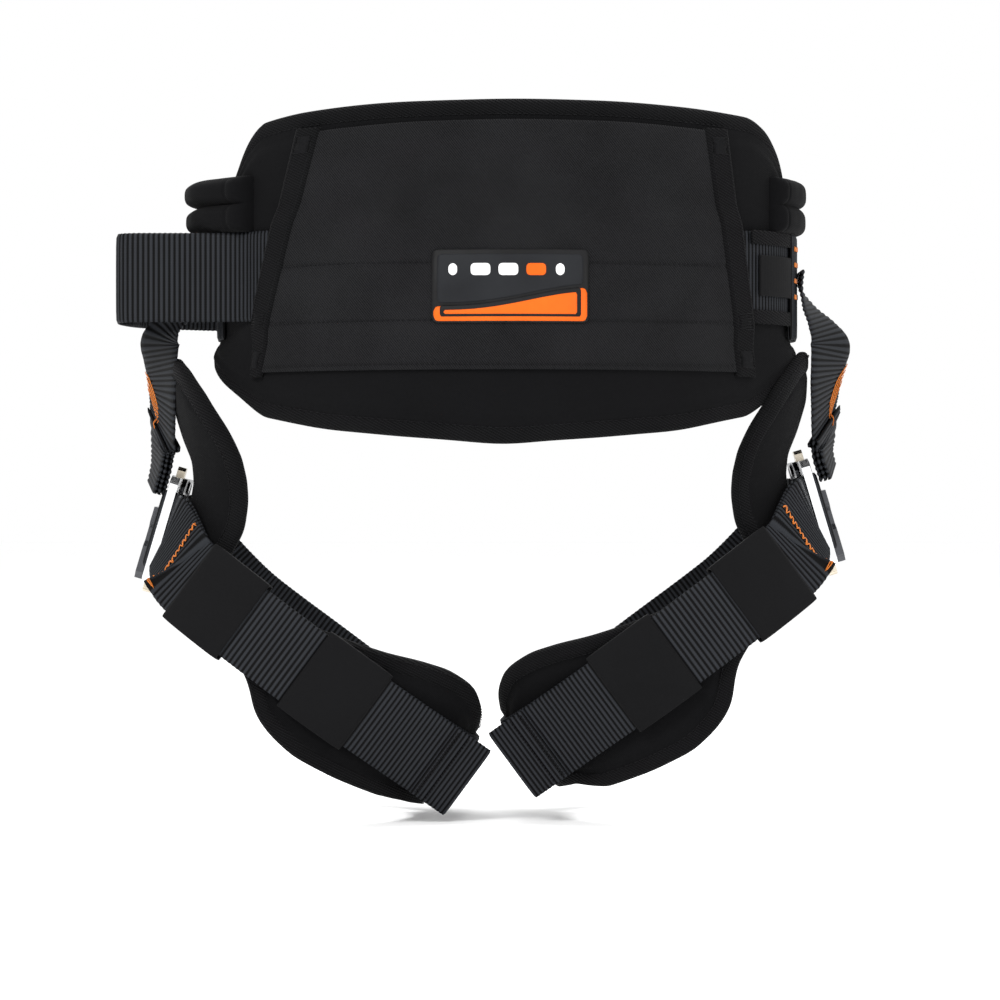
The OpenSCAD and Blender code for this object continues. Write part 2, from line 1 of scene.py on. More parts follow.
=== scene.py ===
import math
import bpy
import numpy as np
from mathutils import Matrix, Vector


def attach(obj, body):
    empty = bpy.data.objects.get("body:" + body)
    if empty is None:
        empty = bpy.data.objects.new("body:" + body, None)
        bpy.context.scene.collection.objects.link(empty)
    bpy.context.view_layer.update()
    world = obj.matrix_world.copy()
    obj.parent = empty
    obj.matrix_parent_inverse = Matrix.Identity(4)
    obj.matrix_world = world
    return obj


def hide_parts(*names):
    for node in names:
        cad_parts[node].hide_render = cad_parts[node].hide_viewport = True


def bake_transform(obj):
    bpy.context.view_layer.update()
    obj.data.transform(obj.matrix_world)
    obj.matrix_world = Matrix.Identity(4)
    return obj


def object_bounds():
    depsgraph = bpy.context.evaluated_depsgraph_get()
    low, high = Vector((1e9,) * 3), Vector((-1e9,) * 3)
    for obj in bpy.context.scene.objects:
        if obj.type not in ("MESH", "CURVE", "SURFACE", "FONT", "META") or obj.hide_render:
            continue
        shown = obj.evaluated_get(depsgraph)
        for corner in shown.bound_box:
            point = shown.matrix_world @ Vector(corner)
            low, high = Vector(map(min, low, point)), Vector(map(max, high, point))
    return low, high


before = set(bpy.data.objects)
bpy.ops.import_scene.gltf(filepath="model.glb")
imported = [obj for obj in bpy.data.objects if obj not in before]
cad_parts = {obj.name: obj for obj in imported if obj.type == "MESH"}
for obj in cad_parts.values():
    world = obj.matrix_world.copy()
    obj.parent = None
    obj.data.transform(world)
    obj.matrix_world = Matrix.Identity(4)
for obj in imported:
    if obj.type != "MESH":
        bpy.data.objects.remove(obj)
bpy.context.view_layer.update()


# Sizes are in millimetres and degrees; new_mesh() turns them into metres.
MM = 0.001
UV_SCALE = 0.01
RIB_PITCH = 2.9
WAIST_RADIUS = 180.0
PAD = 12.0
WEB = 2.2
BELT_WIDE = 50.0
LEG_WIDE = 45.0
# distance of the belt's middle and its outer face from the inside of the pad
BELT_MID = 13.5
BELT_OUT = 14.6
# leg loops: tilt of the thigh's axis, its centre, and the buckle in the loop's own axes
TILT = 36.5
LEG = {"left": (-114.2, 0.0, -213.2), "right": (96.7, 0.0, -203.5)}
SIGN = {"left": -1.0, "right": 1.0}
SPOT = np.array([-108.0, 22.0, 10.0])
UNTILT = -20.0
WAIST_BUCKLE = np.array([-10.0, 119.5, 0.0])


# ---------------------------------------------------------------- layout
def lens(psi, d, big, depth, bend):
    """Plan of a body at angle psi from the spine, d outside it: flat arcs joined by small ones."""
    psi = np.asarray(psi, float)
    d = np.asarray(d, float)
    p = np.where(psi > 180, psi - 360, np.where(psi < -180, psi + 360, psi))
    q = np.abs(p)
    s = np.where(p < 0, -1.0, 1.0)
    b = math.radians(bend)
    small = big - (big - depth) / math.cos(b)
    cx = (big - small) * math.sin(b)
    sn, cs = np.sin(np.radians(q)), np.cos(np.radians(q))
    x = np.where(q <= bend, (big + d) * sn, np.where(q <= 180 - bend, cx + (small + d) * sn, (big + d) * sn))
    y = np.where(q <= bend, big - depth - (big + d) * cs,
                 np.where(q <= 180 - bend, -(small + d) * cs, depth - big - (big + d) * cs))
    return s * x, y


def waist(psi, d):
    return lens(psi, d, WAIST_RADIUS, 105.0, 45.0)


def thigh(psi, d):
    return lens(psi, d, 125.0, 84.0, 40.0)


# edges of the back pad: angle from the spine, height
TOP = ([-100, -90, -80, -72, -64, -57, -48, -38, -20, 0, 20, 38, 48, 58, 68, 76, 85, 100],
       [40, 44, 48, 52, 60, 73, 84, 89, 92, 93, 92.5, 90, 88, 82, 71, 60, 48, 40])
LOW = ([-100, -90, -75, -60, -48, -30, 0, 30, 50, 70, 85, 100],
       [-40, -46, -55, -67, -77, -86, -94, -86, -75, -60, -49, -41])


def soft_lookup(table, x, width=7.0):
    """Table lookup with its corners rounded over the given width."""
    x = np.asarray(x, float)
    offs = np.linspace(-1, 1, 9) * width
    w = np.cos(offs / width * math.pi / 2) ** 2 + 1e-6
    return sum(wi * np.interp(x + o, table[0], table[1]) for wi, o in zip(w, offs)) / w.sum()


def pad_top(psi):
    return soft_lookup(TOP, psi)


def pad_low(psi):
    return soft_lookup(LOW, psi)


def seam_left(z):
    """Angle of the panel's left side seam at a height."""
    return np.interp(z, [-55, 90], [-44.5, -30.8])


def seam_right(z):
    return np.interp(z, [-55, 90], [41.5, 34])


def turn_y(p, deg):
    a = math.radians(deg)
    p = np.asarray(p, float)
    return np.stack([p[..., 0] * math.cos(a) + p[..., 2] * math.sin(a), p[..., 1],
                     -p[..., 0] * math.sin(a) + p[..., 2] * math.cos(a)], -1)


def leg_dir(side, p):
    """Direction in a leg loop's own axes to the frame's axes."""
    q = turn_y(p, TILT)
    if side == "right":
        q = q * np.array([-1.0, 1.0, 1.0])
    return q


def leg_pt(side, p):
    return leg_dir(side, p) + np.array(LEG[side])


def buckle_local(p):
    """Buckle coordinates to leg-loop coordinates."""
    return turn_y(turn_y(p, 180), UNTILT) + SPOT


def smoothstep(x, a, b):
    t = np.clip((np.asarray(x, float) - a) / (b - a), 0, 1)
    return t * t * (3 - 2 * t)


# ---------------------------------------------------------------- mesh helpers
def new_mesh(name, verts, faces, uvs=None, smooth=True):
    me = bpy.data.meshes.new(name)
    me.from_pydata([tuple(v) for v in (np.asarray(verts) * MM)], [], [tuple(f) for f in faces])
    if uvs is not None:
        layer = me.uv_layers.new(name="map")
        loop_v = np.empty(len(me.loops), dtype=np.int32)
        me.loops.foreach_get("vertex_index", loop_v)
        layer.data.foreach_set("uv", (np.asarray(uvs)[loop_v] * UV_SCALE).astype(np.float32).ravel())
    me.validate()
    me.update()
    if smooth:
        me.polygons.foreach_set("use_smooth", [True] * len(me.polygons))
    ob = bpy.data.objects.new(name, me)
    bpy.context.scene.collection.objects.link(ob)
    return ob


def fix_normals(ob):
    import bmesh
    bm = bmesh.new()
    bm.from_mesh(ob.data)
    bmesh.ops.recalc_face_normals(bm, faces=bm.faces)
    bm.to_mesh(ob.data)
    bm.free()
    return ob


def loft(rings, closed=False):
    """rings: (n, m, 3) closed loops; returns verts, faces."""
    n, m, _ = rings.shape
    i = np.arange(n if closed else n - 1)[:, None]
    j = np.arange(m)[None, :]
    i2 = (i + 1) % n
    j2 = (j + 1) % m
    quads = np.stack([i * m + j, i * m + j2, i2 * m + j2, i2 * m + j], -1).reshape(-1, 4)
    faces = [tuple(q) for q in quads.tolist()]
    if not closed:
        faces.append(tuple(range(m - 1, -1, -1)))
        faces.append(tuple(range((n - 1) * m, n * m)))
    return rings.reshape(-1, 3), faces


def join(parts):
    vs, fs, n = [], [], 0
    for v, f in parts:
        vs.append(np.asarray(v, float))
        fs += [tuple(i + n for i in q) for q in f]
        n += len(v)
    return np.concatenate(vs), fs


def resample(p, w, step):
    p = np.asarray(p, float)
    w = np.asarray(w, float)
    dist = np.concatenate([[0], np.cumsum(np.linalg.norm(np.diff(p, axis=0), axis=1))])
    n = max(2, int(round(dist[-1] / step)))
    s = np.linspace(0, dist[-1], n + 1)
    pp = np.stack([np.interp(s, dist, p[:, k]) for k in range(3)], -1)
    ww = np.stack([np.interp(s, dist, w[:, k]) for k in range(3)], -1)
    ww /= np.linalg.norm(ww, axis=1)[:, None]
    return pp, ww, s


def spline(points, per=8):
    p = np.asarray(points, float)
    out = []
    n = len(p)
    for i in range(n - 1):
        a, b, c, d = p[max(i - 1, 0)], p[i], p[i + 1], p[min(i + 2, n - 1)]
        for t in np.arange(per) / per:
            out.append(0.5 * (2 * b + (c - a) * t + (2 * a - 5 * b + 4 * c - d) * t * t
                              + (3 * b - a - 3 * c + d) * t ** 3))
    out.append(p[-1])
    return np.array(out)


class Strap:
    """Flat webbing along a path: its surface points come from at(s, v, side)."""

    def __init__(self, path, edge, width, thick=WEB, step=0.625):
        self.p, w, self.s = resample(path, edge, step)
        t = np.gradient(self.p, axis=0)
        t /= np.linalg.norm(t, axis=1)[:, None]
        w = w - t * (w * t).sum(1)[:, None]
        self.w = w / np.linalg.norm(w, axis=1)[:, None]
        self.n = np.cross(t, self.w)
        self.n /= np.linalg.norm(self.n, axis=1)[:, None]
        self.half = width / 2
        self.thick = thick

    def at(self, s, v, off):
        s = np.asarray(s, float)
        p = np.stack([np.interp(s, self.s, self.p[:, k]) for k in range(3)], -1)
        w = np.stack([np.interp(s, self.s, self.w[:, k]) for k in range(3)], -1)
        n = np.stack([np.interp(s, self.s, self.n[:, k]) for k in range(3)], -1)
        return p + w * (np.asarray(v) * self.half)[..., None] + n * np.asarray(off)[..., None]

    def build(self, name, amp=0.36, wave=0.25, seed=0):
        """Ribbed mesh of the strap with a slight wave along it."""
        v = np.sin(np.linspace(-1, 1, 9) * math.pi / 2)
        v[0], v[-1] = -1, 1
        r = np.random.default_rng(seed + 11)
        ph = r.uniform(0, 6.28, 4)
        n = len(self.s)
        rib = np.abs(np.sin(self.s * math.pi / RIB_PITCH)) * 2 - 1.1
        bend = wave * (np.sin(self.s / 31 + ph[0]) + 0.6 * np.sin(self.s / 17 + ph[1]))
        fade = np.minimum(1, np.minimum(self.s, self.s[-1] - self.s) / 6)
        rings = []
        inset = 0.25 * np.abs(np.sin(self.s * math.pi / RIB_PITCH + 0.6))
        for side in (1, -1):
            for k, vv in enumerate(v if side > 0 else v[::-1]):
                rim = 0.45 if abs(vv) > 0.999 else (0.86 if abs(vv) > 0.9 else 1.0)
                ribs = 0 if abs(vv) > 0.999 else (0.4 if abs(vv) > 0.93 else 1.0)
                off = side * (self.thick / 2 * rim + amp * rib * ribs - 0.12)
                off = off + bend * fade * (1 - 0.4 * vv * vv)
                half = self.half - (inset if abs(vv) > 0.999 else 0 * inset)
                rings.append(self.p + self.w * (vv * half)[:, None] + self.n * off[:, None])
        rings = np.stack(rings, 1)
        verts, faces = loft(rings)
        m = rings.shape[1]
        cross = np.concatenate([v * self.half, v[::-1] * self.half + 3 * self.half])
        uv = np.stack([np.repeat(self.s, m), np.tile(cross, n)], -1)
        return new_mesh(name, verts, faces, uv)


def cap_grid(outer, inner):
    """Closed shell between two (n, m, 3) point grids."""
    n, m, _ = outer.shape
    rings = np.concatenate([inner, outer[:, ::-1]], axis=1)
    k = rings.shape[1]
    verts, faces = loft(rings)
    faces = faces[:-2]
    last = (n - 1) * k
    for i in range(m - 1):
        faces.append((i, k - 1 - i, k - 2 - i, i + 1))
        faces.append((last + i, last + i + 1, last + k - 2 - i, last + k - 1 - i))
    return verts, faces


def tube(points, r, sides=6):
    """Round thread along a line of points."""
    p = np.asarray(points, float)
    t = np.gradient(p, axis=0)
    t /= np.linalg.norm(t, axis=1)[:, None] + 1e-9
    up = np.array([0.13, 0.27, 0.95])
    a = np.cross(t, up)
    a /= np.linalg.norm(a, axis=1)[:, None] + 1e-9
    b = np.cross(t, a)
    ang = np.arange(sides) / sides * 2 * math.pi
    r = np.broadcast_to(np.asarray(r, float), (len(p),))
    ring = np.cos(ang)[None, :, None] * a[:, None] + np.sin(ang)[None, :, None] * b[:, None]
    rings = p[:, None] + r[:, None, None] * ring
    return loft(rings)


def stitches(fn, length, pitch=3.4, gap=0.9, r=0.34, start=0.0):
    """Run of stitches; fn maps distance to a point."""
    parts = []
    s = start
    while s + pitch - gap < length:
        q = np.linspace(s, s + pitch - gap, 5)
        pts = fn(q)
        rr = r * np.array([0.35, 0.95, 1.0, 0.95, 0.35])
        parts.append(tube(pts, rr, 5))
        s += pitch
    return parts


# ---------------------------------------------------------------- materials
def nodes_of(name):
    mat = bpy.data.materials.new(name)
    mat.use_nodes = True
    nt = mat.node_tree
    bsdf = nt.nodes["Principled BSDF"]
    return mat, nt, bsdf


def node(nt, kind, **props):
    n = nt.nodes.new(kind)
    for k, v in props.items():
        if k in n.inputs:
            n.inputs[k].default_value = v
        else:
            setattr(n, k, v)
    return n


def mapped(nt, coord, scale, rot):
    tc = nt.nodes.new("ShaderNodeTexCoord")
    mp = node(nt, "ShaderNodeMapping", Scale=scale, Rotation=rot)
    nt.links.new(tc.outputs[coord], mp.inputs["Vector"])
    return mp.outputs[0]


def noise(nt, scale, detail, stretch=(1, 1, 1)):
    n = node(nt, "ShaderNodeTexNoise", Scale=scale, Detail=detail)
    nt.links.new(mapped(nt, "Object", stretch, (0, 0, 0)), n.inputs["Vector"])
    return n.outputs["Fac"]


def bands(nt, coord, direction, scale, turn=0.0, distortion=0.0, detail=2.0):
    n = node(nt, "ShaderNodeTexWave", Scale=scale, Distortion=distortion, Detail=detail)
    n.bands_direction = direction
    nt.links.new(mapped(nt, coord, (1, 1, 1), (0, math.radians(turn), 0)), n.inputs["Vector"])
    return n.outputs["Fac"]


def scaled(nt, a, factor, plus=None):
    """a times factor, plus another output if one is given."""
    n = node(nt, "ShaderNodeMath", operation="MULTIPLY" if plus is None else "MULTIPLY_ADD")
    n.inputs[1].default_value = factor
    nt.links.new(a, n.inputs[0])
    if plus is not None:
        nt.links.new(plus, n.inputs[2])
    return n.outputs[0]


def colour(nt, b, fac, stops):
    r = nt.nodes.new("ShaderNodeValToRGB")
    first, last = r.color_ramp.elements[0], r.color_ramp.elements[1]
    first.position, first.color = stops[0][0], (*stops[0][1], 1)
    last.position, last.color = stops[-1][0], (*stops[-1][1], 1)
    for pos, col in stops[1:-1]:
        e = r.color_ramp.elements.new(pos)
        e.color = (*col, 1)
    nt.links.new(fac, r.inputs[0])
    nt.links.new(r.outputs[0], b.inputs["Base Color"])


def surface(nt, b, fac, smooth, rough, height, strength, distance):
    """Roughness between two values, and a bump."""
    rr = node(nt, "ShaderNodeMapRange", **{"To Min": smooth, "To Max": rough})
    nt.links.new(fac, rr.inputs["Value"])
    nt.links.new(rr.outputs[0], b.inputs["Roughness"])
    bp = node(nt, "ShaderNodeBump", Strength=strength, Distance=distance)
    nt.links.new(height, bp.inputs["Height"])
    nt.links.new(bp.outputs[0], b.inputs["Normal"])


def cloth_material(name, dark, light, weave=900.0, angle=45.0, rough=0.85, sheen=0.25, bump=0.25, twill=True):
    mat, nt, b = nodes_of(name)
    blotch = noise(nt, 28.0, 5.0)
    fine = noise(nt, 700.0, 3.0)
    warp = bands(nt, "Object", "X", weave, angle, 0.35, 1.0)
    weft = bands(nt, "Object", "X", weave * 1.15, angle - 90, 0.35, 1.0)
    height = scaled(nt, fine, 0.55, scaled(nt, weft, 0.35 if twill else 0.8, warp))
    tone = scaled(nt, blotch, 0.5, scaled(nt, height, 0.5))
    colour(nt, b, tone, [(0.3, dark), (1.0, light)])
    b.inputs["Sheen Weight"].default_value = sheen
    b.inputs["Sheen Roughness"].default_value = 0.5
    b.inputs["Specular IOR Level"].default_value = 0.035
    surface(nt, b, blotch, rough - 0.08, min(1.0, rough + 0.1), height, bump, 0.0006)
    return mat


def webbing_rib_shade_material(name, dark, light, rough=0.55):
    """Painted shade in the grooves and a painted bluish highlight on the rib tops, in step with the ribs of
    the mesh, broken up a little by the threads.
    """
    mat, nt, b = nodes_of(name)
    threads = bands(nt, "UV", "Y", 22.0, distortion=0.6)
    ribs = bands(nt, "UV", "X", 0.1 * math.pi / (RIB_PITCH * UV_SCALE))
    speck = noise(nt, 35.0, 4.0)
    height = scaled(nt, threads, 0.12, ribs)
    # dark is painted shade in the rib grooves, light is a painted bluish highlight on the rib tops
    colour(nt, b, scaled(nt, speck, 0.4, height), [(0.45, dark), (1.0, light)])
    b.inputs["Specular IOR Level"].default_value = 0.06
    surface(nt, b, speck, rough - 0.08, rough + 0.12, height, 0.2, 0.0004)
    return mat


def metal_material(name, color, rough, dirt, metallic=1.0, grain=0.15, coat=0.0):
    mat, nt, b = nodes_of(name)
    brushed = noise(nt, 60.0, 6.0, (1, 30, 1))
    speck = noise(nt, 240.0, 4.0)
    bright = tuple(min(1, c * 1.12) for c in color)
    colour(nt, b, brushed, [(0.25, dirt), (0.5, color), (0.8, bright)])
    b.inputs["Metallic"].default_value = metallic
    b.inputs["Coat Weight"].default_value = coat
    surface(nt, b, speck, max(0.05, rough - 0.1), rough + 0.15, speck, grain, 0.0002)
    return mat


def rubber_material(name, dark, light, rough=0.6):
    mat, nt, b = nodes_of(name)
    broad = noise(nt, 40.0, 5.0)
    fine = noise(nt, 900.0, 2.0)
    colour(nt, b, broad, [(0.3, dark), (0.75, light)])
    b.inputs["Specular IOR Level"].default_value = 0.12
    surface(nt, b, broad, rough - 0.1, rough + 0.1, fine, 0.2, 0.0002)
    return mat


M = {
    "cover": cloth_material("cover_twill", (0.0014, 0.0014, 0.0016), (0.0125, 0.0125, 0.0135),
                            weave=290.0, angle=38.0, rough=0.75, sheen=0.02, bump=0.5),
    "pad": cloth_material("pad_nylon", (0.0008, 0.0008, 0.0009), (0.0045, 0.0045, 0.0050),
                          weave=420.0, angle=45.0, rough=0.8, sheen=0.015, bump=0.35, twill=False),
    "tape": cloth_material("herringbone_tape", (0.0008, 0.0008, 0.0009), (0.0055, 0.0055, 0.006),
                           weave=230.0, angle=62.0, rough=0.78, sheen=0.02, bump=0.6),
    "elastic": cloth_material("smooth_elastic", (0.002, 0.002, 0.0022), (0.006, 0.006, 0.0065),
                              weave=650.0, angle=0.0, rough=0.72, sheen=0.02, bump=0.15, twill=False),
    # webbing colours: dark is painted groove shade, light is a painted bluish rib highlight
    "web": webbing_rib_shade_material("nylon_webbing_painted_rib_shade", (0.0012, 0.0012, 0.0014), (0.017, 0.0185, 0.0215)),
    "thread": cloth_material("orange_thread", (0.30, 0.065, 0.003), (0.60, 0.17, 0.012),
                             rough=0.55, sheen=0.2, bump=0.3),
    "black_thread": cloth_material("black_thread", (0.0012, 0.0012, 0.0012), (0.009, 0.009, 0.010),
                                   rough=0.7, sheen=0.02, bump=0.3),
    "label_black": rubber_material("label_black_rubber", (0.004, 0.004, 0.004), (0.010, 0.010, 0.011), 0.55),
    "label_grey": rubber_material("label_grey_rubber", (0.007, 0.0075, 0.009), (0.012, 0.013, 0.015), 0.6),
    "label_orange": rubber_material("label_orange_rubber", (0.54, 0.080, 0.004), (0.62, 0.105, 0.006), 0.5),
    "label_white": rubber_material("label_white_rubber", (0.6, 0.6, 0.6), (0.75, 0.75, 0.75), 0.5),
    "polished": metal_material("polished_aluminium", (0.86, 0.87, 0.88), 0.22, (0.7, 0.71, 0.73), grain=0.05),
    "gunmetal": metal_material("black_anodised", (0.06, 0.062, 0.068), 0.34, (0.035, 0.036, 0.04),
                               metallic=0.85, grain=0.12, coat=0.2),
    "steel": metal_material("rivet_steel", (0.30, 0.30, 0.31), 0.3, (0.12, 0.12, 0.12), grain=0.1),
    "lever": metal_material("lever_steel", (0.62, 0.56, 0.46), 0.3, (0.32, 0.27, 0.2), grain=0.15),
    "ring": metal_material("ring_metal", (0.55, 0.56, 0.58), 0.28, (0.36, 0.36, 0.37), grain=0.1),
}


def place(ob, mat, slot, body, *replaced, padded=None):
    ob.data.materials.clear()
    ob.data.materials.append(M[mat])
    if body:
        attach(ob, body)
    if replaced:
        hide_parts(*replaced)
    return ob


def thread_piece(name, parts, mat, body, *replaced):
    """One piece from many short tubes."""
    return place(new_mesh(name, *join(parts)), mat, "thread", body, *replaced)


# ---------------------------------------------------------------- waist pad
def waist_points(psi, d, z):
    x, y = waist(psi, d)
    return np.stack(np.broadcast_arrays(x, y, z), -1)


def rounded(u, v, edge_u, edge_v):
    """Fall-off towards a rectangle's rim, with round shoulders."""
    a = np.clip(np.minimum(u, 1 - u) / edge_u, 0, 1)
    b = np.clip(np.minimum(v, 1 - v) / edge_v, 0, 1)
    return np.sqrt(np.clip(1 - (1 - a) ** 2, 0, 1)) * np.sqrt(np.clip(1 - (1 - b) ** 2, 0, 1))


def ripple(x, z, seed, size):
    """Smooth small unevenness of stuffed cloth."""
    r = np.random.default_rng(seed)
    out = 0
    for k in range(7):
        a, b = r.normal(0, 1 / size, 2)
        out = out + np.sin(a * x + b * z + r.uniform(0, 6.28)) / 7
    return out


def flare(psi, z):
    """The lower lobe stands away from the hip at both sides."""
    side = smoothstep(np.abs(psi), 48, 78)
    return 6.5 * side * smoothstep(z, -30, -46)


def back_pad():
    u = np.linspace(0, 1, 150)[:, None]
    v = np.linspace(0, 1, 60)[None, :]
    psi = -98 + 196 * u + 0 * v
    lo, hi = pad_low(psi) + 4, pad_top(psi) - 4
    z = lo + (hi - lo) * v
    r = rounded(u, v, 0.03, 0.09)
    soft = 0.5 * ripple(psi * 2, z, 3, 26)
    # stitched channel just inside the bound edge
    near = np.minimum(z - lo, hi - z)
    channel = 1.2 * np.exp(-((near - 9) / 2.2) ** 2)
    d_out = 5.2 + (PAD - 5.2) * r + (soft - channel) * r
    d_in = 4.2 - 4.2 * r + 0.4 * soft * r
    f = flare(psi, z)
    v3, f3 = cap_grid(waist_points(psi, d_out + f, z), waist_points(psi, d_in + f, z))
    ob = new_mesh("back_pad_cloth", v3, f3)
    return fix_normals(ob)


place(back_pad(), "pad", "pad_fabric", "waist", "back_pad", padded=0.7)


def binding(name, curve, sign, node_name):
    psi = np.linspace(-99, 99, 260)
    ang = np.arange(18) / 18 * 2 * math.pi
    c, s = np.cos(ang), np.sin(ang)
    shape_d = np.sign(c) * np.abs(c) ** 0.7 * 4.6
    shape_z = np.sign(s) * np.abs(s) ** 0.55 * 5.6
    z0 = curve(psi) - sign * 5.4
    wob = 0.35 * ripple(psi * 2, z0, 5, 9)
    rings = []
    for k in range(18):
        zz = z0 + shape_z[k] + wob
        rings.append(waist_points(psi, 5.8 + flare(psi, z0) + shape_d[k] * (1 + 0.05 * wob), zz))
    v3, f3 = loft(np.stack(rings, 1))
    ob = fix_normals(new_mesh(name, v3, f3))
    place(ob, "tape", "tape_fabric", "waist", node_name)
    arc = 3.1
    z1 = lambda q: curve(q / arc - 97) - sign * 8.4
    fn = lambda q: waist_points(q / arc - 97, 10.35 + flare(q / arc - 97, z1(q)), z1(q))
    thread_piece(name + "_stitch", stitches(fn, 194 * arc, 3.6, 1.0, 0.3), "black_thread", "waist")


binding("top_binding_cloth", pad_top, 1, "pad_binding_top")
binding("bottom_binding_cloth", pad_low, -1, "pad_binding_bottom")


# ---------------------------------------------------------------- cover panel and tapes
SEAMS = (4.3, -27.0)
HEM = -53.5


def over_belt(z):
    """Height of cloth that steps over the belt under it."""
    step = smoothstep(np.abs(z), 40, 26)
    return 12.6 + 2.5 * step


def panel():
    u = np.linspace(0, 1, 130)[:, None]
    v = np.linspace(0, 1, 90)[None, :]
    z_hi = pad_top(-37 + 74 * u) - 11.5
    z = HEM + (z_hi - HEM) * v
    psi = seam_left(z) + (seam_right(z) - seam_left(z)) * u
    slack = 0.55 * ripple(psi * 2.6, z * 0.6, 12, 22) + 0.3 * ripple(psi * 2.6, z, 31, 9)
    pull = np.minimum(1, np.minimum(u, 1 - u) * 12) * np.minimum(1, np.minimum(v, 1 - v) * 10)
    seam = sum(0.75 * np.exp(-((z - row) / 1.3) ** 2) for row in SEAMS)
    d = over_belt(z) + 0.6 + slack * pull * 1.1 - seam * 0.8 + 0.8 * pull
    v3, f3 = cap_grid(waist_points(psi, d + 0.9, z), waist_points(psi, d - 0.4, z))
    return fix_normals(new_mesh("cover_panel_cloth", v3, f3))


place(panel(), "cover", "cover_fabric", "waist", "cover_panel")


def panel_surface(psi, z):
    return waist_points(psi, over_belt(z) + 2.35, z)


def straight_seam(name, z, psi0, psi1):
    arc = 3.42
    fn = lambda q: panel_surface(psi0 + q / arc, z + 0.15 * np.sin(q / 40))
    thread_piece(name, stitches(fn, (psi1 - psi0) * arc, 3.0, 0.7, 0.26), "black_thread", "waist")


straight_seam("panel_seam_upper", SEAMS[0], -38.3, 37.8)
straight_seam("panel_seam_lower", SEAMS[1], -41.2, 39.4)
straight_seam("panel_seam_hem", HEM + 3.0, -43.6, 40.8)


def tape(side):
    """Herringbone tape over the panel's side seam; its width is in degrees."""
    wide = 4.8

    def across(z, e):
        return seam_left(z) + 0.35 - wide * e if side < 0 else seam_right(z) - 0.35 + wide * e

    v = np.linspace(0, 1, 150)[:, None]
    u = np.linspace(0, 1, 12)[None, :]
    z = -56.0 + (pad_top(-34.0 if side < 0 else 38.0) - 10.0 + 56.0) * v + 0 * u
    psi = across(z, u)
    edge = np.sqrt(np.clip(1 - (1 - np.clip(np.minimum(u, 1 - u) / 0.12, 0, 1)) ** 2, 0, 1))
    d = over_belt(z) + 0.4
    chev = 0.12 * np.abs(((z + np.abs(u - 0.5) * 7) / 1.5) % 2 - 1)
    outer = waist_points(psi, d + 1.1 + 1.0 * edge + chev * edge, z)
    inner = waist_points(psi, d - 0.3, z)
    v3, f3 = cap_grid(outer, inner)
    name = "panel_tape_cloth_" + ("left" if side < 0 else "right")
    ob = fix_normals(new_mesh(name, v3, f3))
    place(ob, "tape", "tape_fabric", "waist", "panel_tape_left" if side < 0 else "panel_tape_right")
    parts = []
    for e in (0.16, 0.86):
        def fn(q, e=e):
            zz = -54 + q
            return waist_points(across(zz, e), over_belt(zz) + 2.62, zz)
        parts += stitches(fn, 128, 2.8, 0.7, 0.26)
    for zc, n in ((-51, 26), (66, 26), (-30, 12)):
        q = np.linspace(0, 1, n * 4)
        zz = zc + 9 * q
        zig = np.abs((q * n) % 2 - 1)
        e = 0.16 + 0.7 * zig
        parts.append(tube(waist_points(across(zz, e), over_belt(zz) + 2.62, zz), 0.28, 5))
    thread_piece(name + "_stitch", parts, "black_thread", "waist")


tape(-1)
tape(1)


# ---------------------------------------------------------------- label
# the label stands on the panel where that steps over the belt
LAB = BELT_OUT + 0.4 + 1.5 + 0.75


def plaque(name, x0, x1, lo, hi, base, thick, corner, mat, slot, *rep, n=70):
    """Raised moulding between two curves over the label's width."""
    x = np.linspace(x0, x1, n)
    if corner:
        a = np.clip(np.minimum(x - x0, x1 - x) / corner, 0, 1)
        cut = corner * (1 - np.sqrt(np.clip(1 - (1 - a) ** 2, 0, 1)))
    else:
        cut = 0 * x
    zl, zh = lo(x) + cut, hi(x) - cut
    rim = np.array([0.0, 0.7, 1.0, 1.0, 1.0, 0.7, 0.0])
    ends = np.sqrt(np.clip(1 - (1 - np.clip(np.minimum(x - x0, x1 - x) / 0.7, 0, 1)) ** 2, 0, 1))
    t2 = np.stack([np.zeros_like(x), np.minimum(0.3 / (zh - zl), 0.2), np.minimum(0.8 / (zh - zl), 0.4),
                   0.5 + 0 * x, 1 - np.minimum(0.8 / (zh - zl), 0.4), 1 - np.minimum(0.3 / (zh - zl), 0.2),
                   1 + 0 * x], -1)
    z = zl[:, None] + (zh - zl)[:, None] * t2
    psi = np.degrees(x / (WAIST_RADIUS + base))[:, None] + 0 * z
    outer = waist_points(psi, base + thick * rim[None, :] * ends[:, None], z)
    inner = waist_points(psi, base - 0.5 + 0 * z, z)
    v3, f3 = cap_grid(outer, inner)
    return place(fix_normals(new_mesh(name, v3, f3)), mat, slot, "waist", *rep)


def c0(val):
    """A level edge."""
    return lambda x: val + 0 * x


def swoosh(x):
    """Rising edge between the dark plate and the orange band."""
    return -20.2 + 10.0 * smoothstep(x, -36, 46) ** 1.4


plaque("label_black_base", -40.4, 45.6, c0(-28.8), c0(11.2), LAB, 1.5, 4.0,
       "label_black", "label_black", "label_frame")
plaque("label_orange_border", -39.3, 44.5, c0(-27.7), lambda x: swoosh(x) + 0.6, LAB + 1.4, 0.7, 3.0,
       "label_orange", "label_orange", "label_band")
plaque("label_black_groove", -36.0, 41.3, c0(-25.4), lambda x: swoosh(x) + 0.9, LAB + 1.9, 0.6, 1.5,
       "label_black", "label_black")
plaque("label_orange_bar", -33.8, 39.0, c0(-24.0), lambda x: swoosh(x) - 1.4, LAB + 2.3, 0.75, 1.2,
       "label_orange", "label_orange")
plaque("label_grey_face", -37.4, 42.5, lambda x: swoosh(x) + 2.2, c0(8.6), LAB + 1.3, 0.8, 3.0,
       "label_grey", "label_grey", "label_plate")
